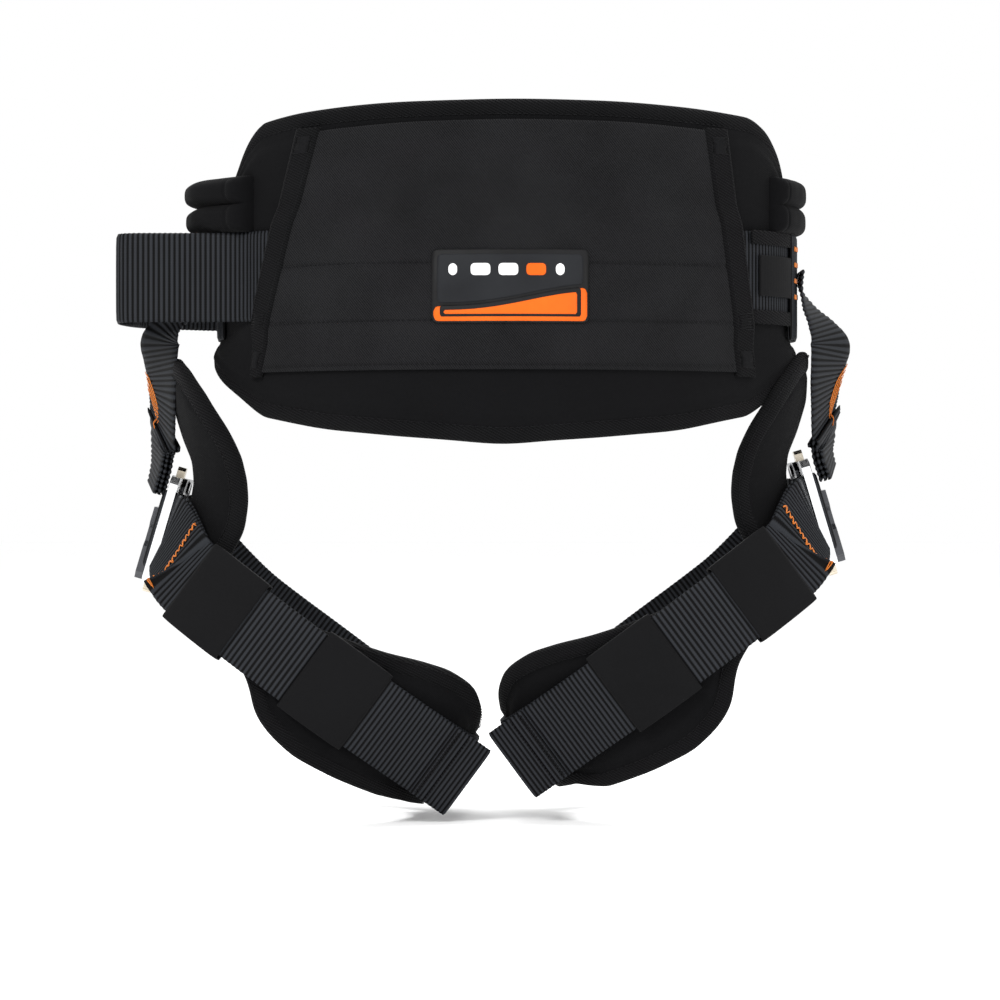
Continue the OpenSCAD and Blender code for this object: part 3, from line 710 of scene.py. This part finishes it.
# plain marks in place of the lettering
for k, (xa, xb) in enumerate(((-31, -26), (-19, -8), (-4, 7), (11, 22), (27, 32))):
    look = ("label_orange", "label_orange") if k == 3 else ("label_white", "label_grey")
    plaque("label_mark_%d" % k, xa, xb, c0(-3.2), c0(3.6), LAB + 1.9, 0.7, 2.4 if k in (1, 2, 3) else 2.9,
           *look, n=24)


# ---------------------------------------------------------------- side rolls
def side_roll(side, a, b, out):
    """Two stuffed lobes one above the other, from angle a to b, standing out by the given distance."""
    v = np.linspace(0, 1, 110)[:, None]
    k = np.linspace(0, 1, 90)[None, :]
    psi = a + (b - a) * v + 0 * k
    z = 25.0 + 31.0 * k + 0 * v
    bulb = lambda c, r: np.clip(1 - np.abs((z - c) / r) ** 3.2, 0, 1) ** 0.5
    lobes = np.maximum(bulb(33.2, 8.2), 1.05 * bulb(48.2, 8.0))
    ends = np.clip(1 - (1 - np.clip(np.minimum(v, 1 - v) / 0.10, 0, 1)) ** 2.6, 0, 1) ** 0.5
    taper = 0.62 + 0.38 * smoothstep(v, 0.95, 0.45) if side < 0 else 1.0
    crease = 0.45 * ripple(psi * 3.0, z * 0.5, 17 + int(side), 10)
    seam = 0.7 * np.exp(-((np.minimum(v, 1 - v) - 0.13) / 0.02) ** 2)
    d = 12.1 + (out * lobes * taper + 1.6 + (crease - seam) * lobes) * ends
    outer = waist_points(psi, d, z + 0.6 * crease)
    inner = waist_points(psi, 11.0 + 0 * psi, z)
    v3, f3 = cap_grid(outer, inner)
    name = "side_roll_cloth_" + ("left" if side < 0 else "right")
    place(fix_normals(new_mesh(name, v3, f3)), "pad", "pad_fabric", "waist",
          "side_roll_left" if side < 0 else "side_roll_right", padded=0.8)


side_roll(-1, -91.0, -49.0, 19.0)
side_roll(1, 57.0, 89.0, 8.0)


# ---------------------------------------------------------------- webbing on the waist
def plan_path(points):
    p = np.asarray(points, float)
    return np.concatenate([p, np.zeros((len(p), 1))], 1)


def lens_run(fn, a, b, d, step=1.0):
    """Plan points along a waist or thigh line from angle a to b."""
    psi = np.arange(a, b, step if b > a else -step)
    x, y = fn(psi, d + 0 * psi)
    return np.stack([x, y], -1).tolist()


UP = np.array([0.0, 0.0, 1.0])
# the slack belt's way round the left hip, in plan
bulge = [[-151, -50.5], [-168, -47.5], [-190, -47.5], [-206, -47], [-214, -42.5], [-217, -33],
         [-217.5, -10], [-213, 18], [-206, 34], [-196, 46], [-184, 54.6], [-172, 63.2], [-146, 75]]
left_tail = spline([lens_run(waist, -50, -51, BELT_MID)[0]] + bulge
                   + lens_run(waist, -145, -146, BELT_MID), 8)
front_left = lens_run(waist, -146, -165, BELT_MID)

# webbing round the bar of a buckle frame and of a tongue, in the buckle's own x and y
FRAME_LOOP = [[-5.4, 44.5], [-6.2, 40], [-6.4, 34], [-6.4, 28.5], [-6.1, 25.6], [-4.4, 24.2], [0, 24],
              [4.4, 24.2], [6.1, 25.6], [6.4, 28.5], [6.4, 34], [5.8, 40], [1.4, 46], [-1.9, 50.5]]
TONGUE_LOOP = [[-3.7, -32.4], [0, -29.6], [3.9, -28.2], [4.3, -24.5], [3.9, -20.9], [0, -19.4], [-4.2, -20.2],
               [-7.0, -24], [-7.6, -32]]


def to_waist_plan(b):
    """Buckle x, y to waist plan x, y."""
    b = np.asarray(b, float)
    return np.stack([WAIST_BUCKLE[0] - b[:, 1], WAIST_BUCKLE[1] + b[:, 0]], -1)


loop_w = to_waist_plan(spline(FRAME_LOOP, 4))
lead = spline([front_left[-1], [-58.5, 111.0], [-55.6, 113.6]] + loop_w[:1].tolist(), 5)
belt_left = np.concatenate([np.array(lens_run(waist, 10, -50, BELT_MID)), left_tail,
                            np.array(front_left), lead[1:-1], loop_w])
strap = Strap(plan_path(belt_left), np.tile(UP, (len(belt_left), 1)), BELT_WIDE)
place(strap.build("waist_belt_left_webbing", seed=1), "web", "webbing", "waist", "waist_belt")
belt_right = np.array(lens_run(waist, 12, 140, BELT_MID))
strap = Strap(plan_path(belt_right), np.tile(UP, (len(belt_right), 1)), BELT_WIDE)
place(strap.build("waist_belt_right_webbing", seed=2), "web", "webbing", "waist")


# the belt's other end, looped through the tongue
tl = to_waist_plan(TONGUE_LOOP)
run_in = lens_run(waist, 138, 158, BELT_MID + 1.25)
run_out = lens_run(waist, 158, 138, BELT_MID - 1.25)
end_pts = np.concatenate([np.array(run_in), spline([run_in[-1], [44, 115.5], [34, 115.9]] + tl.tolist() +
                          [[34, 111.9], [46, 110.6]] + [run_out[0]], 6)[1:], np.array(run_out)[1:]])
strap = Strap(plan_path(end_pts), np.tile(UP, (len(end_pts), 1)), BELT_WIDE, thick=1.9)
belt_end = strap.build("waist_belt_end_webbing", seed=3, wave=0.05)
place(belt_end, "web", "webbing", None, "waist_belt_end")
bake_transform(belt_end)

psi = np.linspace(47, 71, 60)
x, y = waist(psi, BELT_OUT + 1.6)
kp = Strap(np.stack([x, y, 0 * x + 0.5], -1), np.tile(UP, (60, 1)), 23.0, thick=1.6, step=0.8)
place(kp.build("belt_keeper_elastic", amp=0.03, wave=0.1), "elastic", "elastic", "waist", "belt_keeper")
for zc in (21.5, -22.5):
    psi = np.linspace(44, 71, 60)
    x, y = waist(psi, BELT_OUT + 1.2)
    kp = Strap(np.stack([x, y, 0 * x + zc], -1), np.tile(UP, (60, 1)), 8.0, thick=1.4, step=0.8)
    name = "belt_edge_tape_" + ("upper" if zc > 0 else "lower")
    place(kp.build(name, amp=0.03, wave=0.1), "tape", "tape_fabric", "waist")


def hip_tab(side, d, node_name):
    """Sewn tab at the hip with its four orange bartacks."""
    psi = np.linspace(71, 103, 70) * side
    x, y = waist(psi, d)
    st = Strap(np.stack([x, y, 0 * x - 4], -1), np.tile(UP, (70, 1)), 60.0, step=0.6)
    label = "left" if side < 0 else "right"
    place(st.build("hip_tab_webbing_" + label, seed=5, wave=0.2), "web", "webbing", "waist", node_name)
    parts = []
    for zc in (17.5, 8.5, -0.5, -9.5):
        for row in range(5):
            q = np.linspace(0, 1, 120)
            ps = side * (74 + 6.5 * q)
            xx, yy = waist(ps, d + WEB / 2 + 0.35)
            zz = zc + 1.2 * np.sin(q * 75 + row * 1.3)
            parts.append(tube(np.stack([xx, yy, zz], -1), 0.33, 5))
    stands_for = ["hip_bartacks"] if side > 0 else []
    thread_piece("hip_bartack_" + label, parts, "thread", "waist", *stands_for)


hip_tab(-1, 13.7, "hip_tab_left")
hip_tab(1, 16.1, "hip_tab_right")


# ---------------------------------------------------------------- D-ring loops
def ring_frames():
    """Where each D-ring's loop stands on the belt, and how far it is turned."""
    spot = lambda psi, d: tuple(float(c) for c in waist(psi, d))
    return {"hip_left": ((-185.1, 56.2), 35.6), "hip_right": (spot(132.0, 14.9), -48.0),
            "front_left": (spot(-153.0, 14.6), 27.0), "front_right": (spot(153.0, 14.6), -27.0)}


for key, (xy, turn) in ring_frames().items():
    a = math.radians(turn)
    tx = np.array([math.cos(a), math.sin(a), 0])
    nx = np.array([-math.sin(a), math.cos(a), 0])
    # distance from the belt and height
    prof = spline([[0.9, 24.5], [1.3, 14], [1.6, 6], [2.6, 4.8], [5.0, 5.2], [7.3, 5.5], [11.2, 7.2],
                   [12.8, 11], [11.2, 14.8], [7.3, 16.6], [4.6, 18], [3.6, 21], [3.4, 24.5]], 6)
    prof[:, 0] = np.maximum(prof[:, 0], 0.4)
    path = np.array([xy[0], xy[1], 0]) + nx * prof[:, :1] + UP * prof[:, 1:]
    st = Strap(path, np.tile(tx, (len(path), 1)), 40.0, thick=1.9, step=0.6)
    place(st.build("ring_loop_" + key, wave=0.05, seed=8), "web", "webbing", "waist",
          *(["front_ring_loops"] if key == "front_left" else []))


# ---------------------------------------------------------------- leg loops
# middle line of each riser, x outwards, and the turn of its edge; below LAYERED it is three layers thick
RISER = {
    "left": [[165.6, 0, 6, 0], [166, 0, -2, 4], [171, 0, -9, 12], [181, 0, -17, 22], [191.5, 0, -25, 32],
             [196.5, 0, -33, 35], [196.5, 0, -43, 30], [195.5, 0, -54, 26], [195.5, 1, -66, 23],
             [195.5, 6, -80, 20], [196, 12, -89, 16], [197.4, 15, -104, 13], [200.4, 17, -117, 12]],
    "right": [[168.1, 0, 6, 0], [168.6, 0, -4, 4], [173, 0, -14, 14], [180, -1, -24, 26], [185, -2, -34, 34],
              [184.5, -2, -45, 31], [183, 0, -57, 26], [182.5, 4, -71, 22], [182.5, 9, -81, 18],
              [182.3, 13, -88, 15], [182.6, 15, -98, 13], [185.2, 17, -108, 12]]}
LAYERED = {"left": -82, "right": -79}
# upper and lower edges of the leg pad and the hip pad against the angle round the thigh
LEG_HI = ([-20, -14, -1, 8, 19, 28, 37, 50, 62, 80, 100, 116],
          [8, 16, 20, 25, 32, 39, 44, 44, 39, 29, 25, 20])
LEG_LO = ([-20, -14, -8, -4, 0, 6, 14, 26, 42, 58, 75, 100, 116],
          [-13, -18, -22, -28, -36, -40, -42, -39, -33, -29, -27, -27, -20])
HIP_HI = ([32, 40, 52, 66, 80, 95, 110, 124, 132], [-124, -86, -64, -50, -44, -46, -60, -88, -118])
HIP_LO = ([32, 40, 52, 80, 110, 124, 132], [-142, -160, -166, -168, -164, -152, -138])
# the hip pad's outer radius against height
HIP_ROUND = ([-175, -145, -128, -114, -102, -90, -72, -45], [74, 70, 66, 63.5, 64.5, 69, 74, 76])
HIP_THICK = 6.3


def edge_roll(surface, outline, half_wide, half_thick, centre, name):
    """Bound edge: a flattened roll along an outline of (a, h); surface(a, h, d) gives the points."""
    a, h = outline[:, 0], outline[:, 1]
    p = surface(a, h, centre + 0 * a)
    q = surface(a, h, centre + 1.0 + 0 * a)
    nrm = q - p
    nrm /= np.linalg.norm(nrm, axis=1)[:, None]
    t = np.roll(p, -1, 0) - np.roll(p, 1, 0)
    t /= np.linalg.norm(t, axis=1)[:, None]
    side = np.cross(nrm, t)
    side /= np.linalg.norm(side, axis=1)[:, None]
    ang = np.arange(16) / 16 * 2 * math.pi
    c, s_ = np.cos(ang), np.sin(ang)
    cw = np.sign(c) * np.abs(c) ** 0.6 * half_wide
    ct = np.sign(s_) * np.abs(s_) ** 0.75 * half_thick
    rings = p[:, None] + cw[None, :, None] * side[:, None] + ct[None, :, None] * nrm[:, None]
    v3, f3 = loft(rings, True)
    return fix_normals(new_mesh(name, v3, f3)), p, nrm, side


def round_outline(lo, hi, a0, a1, inset, n=70):
    """Closed (a, h) outline between two tables."""
    a = np.linspace(a0, a1, n)
    top = soft_lookup(hi, a, 3.0) - inset
    low = soft_lookup(lo, a, 3.0) + inset
    return np.concatenate([np.stack([a, top], -1), np.stack([a[::-1], low[::-1]], -1)])


def even(outline, surface, d, step=2.0):
    """Outline points spaced evenly along the surface, corners eased."""
    q = np.concatenate([outline, outline[:1]])
    p = surface(q[:, 0], q[:, 1], d + 0 * q[:, 0])
    dist = np.concatenate([[0], np.cumsum(np.linalg.norm(np.diff(p, axis=0), axis=1))])
    n = int(dist[-1] / step)
    s_ = np.linspace(0, dist[-1], n, endpoint=False)
    out = np.stack([np.interp(s_, dist, q[:, 0]), np.interp(s_, dist, q[:, 1])], -1)
    for _ in range(5):
        out = (np.roll(out, 1, 0) + 2 * out + np.roll(out, -1, 0)) / 4
    return out


def pad_body(surface, lo, hi, a0, a1, d_in, d_out, name, seed, inset=3.0, wave=0.6):
    """Stuffed pad between two edge tables, with a stitched channel inside its rim."""
    u = np.linspace(0, 1, 96)[:, None]
    v = np.linspace(0, 1, 44)[None, :]
    a = a0 + (a1 - a0) * u + 0 * v
    low, top = soft_lookup(lo, a, 3.0) + inset, soft_lookup(hi, a, 3.0) - inset
    h = low + (top - low) * v
    r = rounded(u, v, 0.06, 0.16)
    thick = d_out - d_in
    mid = (d_in + d_out) / 2
    near = np.minimum(h - low, top - h)
    channel = 0.9 * np.exp(-((near - 7.0) / 2.0) ** 2)
    lump = wave * ripple(a * 1.6, h, seed, 15) + 0.4 * wave * ripple(a * 1.6, h, seed + 5, 6)
    out = mid + (thick / 2) * (0.35 + 0.65 * r) + (lump - channel) * r
    inn = mid - (thick / 2) * (0.35 + 0.65 * r) + 0.4 * lump * r
    v3, f3 = cap_grid(surface(a, h, out), surface(a, h, inn))
    return fix_normals(new_mesh(name, v3, f3))


def stitch_line(points, name, body):
    """Dark stitches along a closed line."""
    p = np.concatenate([points, points[:1]])
    dist = np.concatenate([[0], np.cumsum(np.linalg.norm(np.diff(p, axis=0), axis=1))])
    fn = lambda q: np.stack([np.interp(q, dist, p[:, k]) for k in range(3)], -1)
    thread_piece(name, stitches(fn, dist[-1], 3.2, 0.8, 0.3), "black_thread", body)


def leg_loop(side):
    sg = SIGN[side]
    body = "leg_loop_" + side
    rows = np.array(RISER[side], float)

    def thigh_surface(a, h, d):
        x, y = thigh(a, d)
        return leg_pt(side, np.stack(np.broadcast_arrays(x, y, h), -1))

    def hip_surface(a, z, d):
        r = soft_lookup(HIP_ROUND, z, 5.0) - HIP_THICK + d
        shift = 0 if side == "left" else 4
        c = np.array(LEG[side])
        x = c[0] + sg * r * np.sin(np.radians(a))
        y = -r * np.cos(np.radians(a))
        return np.stack(np.broadcast_arrays(x, y, z + shift), -1)

    # riser strap: one layer above, three at the sewn lower end
    path = spline(np.stack([sg * rows[:, 0], rows[:, 1], rows[:, 2]], -1), 10)
    ang = np.radians(spline(np.stack([rows[:, 3]] * 3, -1), 10)[:, 0])
    edge = np.stack([sg * np.sin(ang), np.cos(ang), 0 * ang], -1)
    main = Strap(path, edge, LEG_WIDE)
    ob = main.build("riser_webbing_" + side, wave=0.35, seed=21 if side == "left" else 22)
    place(ob, "web", "webbing", None, "riser_" + side)
    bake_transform(ob)
    low = path[:, 2] < LAYERED[side]
    for k, off in enumerate((2.5, -2.5)):
        sub = path[low]
        w = edge[low]
        t = np.gradient(sub, axis=0)
        t /= np.linalg.norm(t, axis=1)[:, None]
        n = np.cross(t, w)
        n /= np.linalg.norm(n, axis=1)[:, None]
        cut = int(len(sub) * (0.0 if k == 0 else 0.12))
        st = Strap((sub + n * off)[cut:], w[cut:], 44.4 - k)
        place(st.build("riser_layer_%d_%s" % (k, side), wave=0.1, seed=30 + k), "web", "webbing", body)

    # orange stitch rows, on the outer layer
    parts = []
    out_sign = 1.0 if np.dot(main.n[len(main.n) // 2], [sg, 0, 0]) > 0 else -1.0
    layered = np.interp(-LAYERED[side], -main.p[:, 2], main.s)
    for i in range(4):
        for j in range(2):
            q = np.linspace(0.95, 0.2, 110)
            ss = layered - 34.0 + 4.4 * i + (0.95 - q) * 32.0 + 0.9 * j
            lift = 1.3 + 2.5 * smoothstep(ss, layered - 1.5, layered + 1.5)
            wig = 0.35 * np.sin(q * 85 + j * 2.1)
            parts.append(tube(main.at(ss + wig, q, out_sign * lift), 0.25, 5))
    thread_piece("riser_thread_" + side, parts, "thread", body, "riser_stitching_" + side)

    # hip pad with its bound edge
    ob = pad_body(hip_surface, HIP_LO, HIP_HI, 33, 131, 0.0, HIP_THICK, "hip_pad_cloth_" + side, 41)
    place(ob, "pad", "pad_fabric", body, "hip_pad_" + side, padded=0.6)
    line = even(round_outline(HIP_LO, HIP_HI, 33, 131, 5.0), hip_surface, 3.2)
    ob, p, nrm, sd = edge_roll(hip_surface, line, 5.6, 3.4, 3.1, "hip_pad_edge_" + side)
    place(ob, "tape", "tape_fabric", body)
    stitch_line(p + nrm * 3.55 + sd * 3.6, "hip_pad_edge_stitch_" + side, body)

    # leg pad with its bound edge
    deep = 1.0 if side == "left" else 1.18
    leg_lo = (LEG_LO[0], [h * (deep if a < 50 else 1.0) for a, h in zip(*LEG_LO)])
    ob = pad_body(thigh_surface, leg_lo, LEG_HI, -19, 115, -10.7, -1.7, "leg_pad_cloth_" + side, 51, wave=0.8)
    place(ob, "pad", "pad_fabric", body, "leg_pad_" + side, padded=0.75)
    line = even(round_outline(leg_lo, LEG_HI, -19, 115, 3.6), thigh_surface, -6.0)
    ob, p, nrm, sd = edge_roll(thigh_surface, line, 5.2, 4.4, -6.2, "leg_pad_edge_" + side)
    place(ob, "tape", "tape_fabric", body)
    stitch_line(p + nrm * 4.3 + sd * 3.4, "leg_pad_edge_stitch_" + side, body)

    # main webbing round the thigh to the buckle frame
    def local(points, edges):
        return leg_pt(side, np.asarray(points, float)), leg_dir(side, np.asarray(edges, float))

    turned = np.array([math.sin(math.radians(UNTILT)), 0, math.cos(math.radians(UNTILT))])
    psi = np.arange(-26.4, 188.5, 2.0)
    x, y = thigh(psi, 1.1)
    ring = np.stack([x, y, 0 * x], -1)
    fl = np.array([[b[0], b[1], 0] for b in FRAME_LOOP], float)
    loop = buckle_local(spline(fl, 5))
    lead = spline(np.array([ring[-1], [-45, 78.6, 0.8], [-66, 75, 3.6], [-86, 72, 7.6], [-97, 70.6, 10],
                            loop[0]]), 8)
    pts = np.concatenate([ring, lead[1:-1], loop])
    k = np.concatenate([np.zeros(len(ring)), np.linspace(0, 1, len(lead) - 2), np.ones(len(loop))])
    edges = UP * (1 - k)[:, None] + turned * k[:, None]
    st = Strap(*local(pts, edges), LEG_WIDE)
    place(st.build("leg_strap_" + side, seed=61), "web", "webbing", body, "leg_webbing_" + side)

    # outer layer: its free tail runs on straight and ends in a sewn fold
    psi = np.arange(-26.4, 27.5, 1.5)
    x, y = thigh(psi, 3.5)
    tail = np.concatenate([np.stack([x, y], -1), spline([[60.4, -72.5], [86, -58.8], [113, -44.9]], 6)])
    tail = np.concatenate([tail, np.zeros((len(tail), 1))], 1)
    st = Strap(*local(tail, np.tile(UP, (len(tail), 1))), LEG_WIDE)
    place(st.build("leg_strap_tail_" + side, seed=62), "web", "webbing", body)
    fold = spline([[93, -57.4, 0], [103, -52.2, 0], [113.2, -46.8, 0], [115.0, -45.2, 0],
                   [114.2, -43.2, 0]], 5)
    st = Strap(*local(fold, np.tile(UP, (len(fold), 1))), LEG_WIDE, thick=2.0)
    place(st.build("leg_strap_fold_" + side, seed=63, wave=0.05), "web", "webbing", body)
    face = 1.0 if np.dot(st.n[3], leg_dir(side, np.array([0.46, -0.89, 0.0]))) > 0 else -1.0
    parts = []
    for a in (1.6, 2.9, 9.0):
        q = np.linspace(-0.92, 0.92, 200)
        parts.append(tube(st.at(a + 0.35 * np.sin(q * 70), q, face * (1.4 + 0 * q)), 0.3, 5))
    thread_piece("leg_strap_fold_stitch_" + side, parts, "black_thread", body)

    # elastic sleeves round both layers
    def keeper(mid, half_deg, child, node_name, name):
        n_a, m = 26, 40
        psi = mid + np.linspace(-1, 1, n_a) * half_deg
        ang = np.arange(m) / m * 2 * math.pi
        c, s_ = np.cos(ang), np.sin(ang)

        def section(half_h, d0, d1, power):
            hh = np.sign(c) * np.abs(c) ** power * half_h
            dd = (d0 + d1) / 2 + np.sign(s_) * np.abs(s_) ** power * (d1 - d0) / 2
            return hh, dd

        flare = 0.5 * np.abs(np.linspace(-1, 1, n_a)) ** 6
        outer, inner = [], []
        for i, a in enumerate(psi):
            hh, dd = section(25.3 - flare[i] * 0.6, -1.4, 6.6 - flare[i], 0.16)
            dd = dd + 0.18 * np.sin(hh / 9 + i * 0.35)
            outer.append(thigh_surface(a + 0 * hh, hh, dd))
            hh, dd = section(24.3, -0.5, 5.4, 0.2)
            inner.append(thigh_surface(a + 0 * hh, hh, dd))
        rings = np.array(outer + inner[::-1])
        v3, f3 = loft(rings, closed=True)
        place(fix_normals(new_mesh(name, v3, f3)), "elastic", "elastic", child, node_name)

    for kind, mid in (("outer", -26.0), ("inner", 11.6)):
        keeper(mid, 9.4, kind + "_keeper_" + side, "keeper_%s_%s" % (kind, side),
               "keeper_%s_elastic_%s" % (kind, side))

    # strap round the tongue's bar; its two layers run back under the outer keeper
    def run(values, d):
        v_ = np.asarray(values, float)
        x, y = thigh(v_, d)
        return np.stack([x, y, 0 * x], -1)

    tl_ = buckle_local(np.array([[b[0], b[1], 0] for b in TONGUE_LOOP], float))
    lift = np.array([0, 0, 0.4, 1.2, 2.6, 4.6])
    a_in = run([-26, -30, -34, -38, -42, -46], 3.55)
    a_in[:, 2] = lift
    b_in = buckle_local(np.array([[-6.2, -49, 1.2], [-4.6, -40, 0]], float))
    b_out = buckle_local(np.array([[-8.4, -40, 0], [-9.3, -49, 1.2]], float))
    a_out = run([-46, -42, -38, -34, -30, -26], 1.1)
    a_out[:, 2] = lift[::-1]
    pts = np.concatenate([a_in, b_in, tl_, b_out, a_out])
    k = np.concatenate([[0, 0, 0, 0, 0, 0.1], [0.6, 1], np.ones(len(tl_)), [1, 0.6], [0.1, 0, 0, 0, 0, 0]])
    edges = UP * (1 - k)[:, None] + turned * k[:, None]
    pp = spline(pts, 6)
    ee = spline(edges, 6)
    st = Strap(*local(pp, ee), 45.0)
    ob = st.build("leg_strap_end_" + side, seed=64, wave=0.05)
    place(ob, "web", "webbing", None, "strap_end_" + side)
    s0 = thigh_surface(np.array(-36.0), np.array(0.0), np.array(2.0)) * MM
    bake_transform(ob)
    # orange zigzag that closes the loop, on the outer layer
    target = thigh_surface(np.array(-50.0), np.array(6.0), np.array(3.5))
    first = int(len(st.p) * 0.45)
    i0 = int(np.argmin(np.linalg.norm(st.p[:first] - target, axis=1)))
    face = 1.0 if np.dot(st.n[i0], leg_dir(side, np.array([-0.9, -0.6, 0.0]))) > 0 else -1.0
    down = 1.0 if st.p[i0 + 10, 2] < st.p[i0, 2] else -1.0
    low = 1.0 if st.at(st.s[i0], 0.9, 0.0)[2] < st.at(st.s[i0], -0.9, 0.0)[2] else -1.0
    parts = []
    r = np.random.default_rng(90 + int(sg))
    for j in range(2):
        n_z = 26
        q = np.linspace(-0.93, 0.93, n_z)
        zig = np.where(np.arange(n_z) % 2 == 0, 1.0, -1.0) * r.uniform(1.0, 2.6, n_z)
        q = np.interp(np.linspace(0, n_z - 1, n_z * 5), np.arange(n_z), q + r.normal(0, 0.012, n_z))
        zig = np.interp(np.linspace(0, n_z - 1, n_z * 5), np.arange(n_z), zig)
        run_s = st.s[i0] + down * (4.0 + 6.5 * low * q) + zig + 0.5 * j
        parts.append(tube(st.at(run_s, q, face * (1.5 + 0.35 * np.cos(zig))), 0.3, 5))
    ob = thread_piece("strap_end_thread_" + side, parts, "thread", None, "strap_bartack_" + side)
    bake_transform(ob)


leg_loop("left")
leg_loop("right")


# ---------------------------------------------------------------- CAD pieces that stay as they are
KEPT = [(which + "_dring_" + sd, "ring", "ring_metal") for which in ("hip", "front") for sd in SIGN]
BUCKLE = [("frame", "polished", "polished"), ("cover_plates", "gunmetal", "gunmetal"),
          ("rivets", "steel", "steel"), ("tongue", "polished", "polished"),
          ("lever_upper", "lever", "lever_brass"), ("lever_lower", "lever", "lever_brass")]
for part, mat, slot in BUCKLE:
    KEPT.append(("waist_" + part, mat, slot))
    KEPT += [(("buckle_frame_" if part == "frame" else part + "_") + sd, mat, slot) for sd in SIGN]
for name, mat, slot in KEPT:
    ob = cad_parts[name]
    ob.data.materials.clear()
    ob.data.materials.append(M[mat])
    bev = ob.modifiers.new("edge", "BEVEL")
    bev.width = 0.0004
    bev.segments = 2
    bev.limit_method = "ANGLE"
    bev.angle_limit = math.radians(35)
    bev.harden_normals = False


# ---------------------------------------------------------------- studio
lo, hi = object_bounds()
corners = np.array([[-9000, -3500, 0], [9000, -3500, 0], [9000, 14000, 0], [-9000, 14000, 0]])
floor = new_mesh("studio_floor", corners, [(0, 1, 2, 3)], smooth=False)
floor.location.z = lo.z - 0.004
fm, _, fb = nodes_of("floor_white")
fb.inputs["Base Color"].default_value = (1.0, 1.0, 1.0, 1)
fb.inputs["Roughness"].default_value = 0.9
floor.data.materials.append(fm)

world = bpy.data.worlds.new("studio")
bpy.context.scene.world = world
world.use_nodes = True
world.node_tree.nodes["Background"].inputs["Color"].default_value = (1, 1, 1, 1)
world.node_tree.nodes["Background"].inputs["Strength"].default_value = 1.0


def area(name, loc, aim, size, power):
    """Soft light at loc that faces aim."""
    la = bpy.data.lights.new(name, "AREA")
    la.shape = "RECTANGLE"
    la.size, la.size_y = size
    la.energy = power
    ob = bpy.data.objects.new(name, la)
    bpy.context.scene.collection.objects.link(ob)
    ob.location = loc
    d = Vector(aim) - Vector(loc)
    ob.rotation_euler = d.to_track_quat("-Z", "Y").to_euler()


area("key", (-1.1, -1.9, 1.3), (0, 0, -0.1), (0.9, 0.9), 42)
area("fill", (1.5, -1.8, 0.5), (0, 0, -0.12), (1.2, 1.2), 24)
area("top", (0.0, 0.3, 1.8), (0, 0, -0.1), (1.2, 0.8), 30)

# level camera behind the wearer, at about the height of the buckles
cam_data = bpy.data.cameras.new("camera")
cam = bpy.data.objects.new("camera", cam_data)
bpy.context.scene.collection.objects.link(cam)
cam.location = (-0.003, -2.2, -0.124)
cam.rotation_euler = (math.radians(90), 0, 0)
cam_data.lens = 139
cam_data.sensor_width = 36
bpy.context.scene.camera = cam
bpy.context.scene.view_settings.view_transform = "Standard"
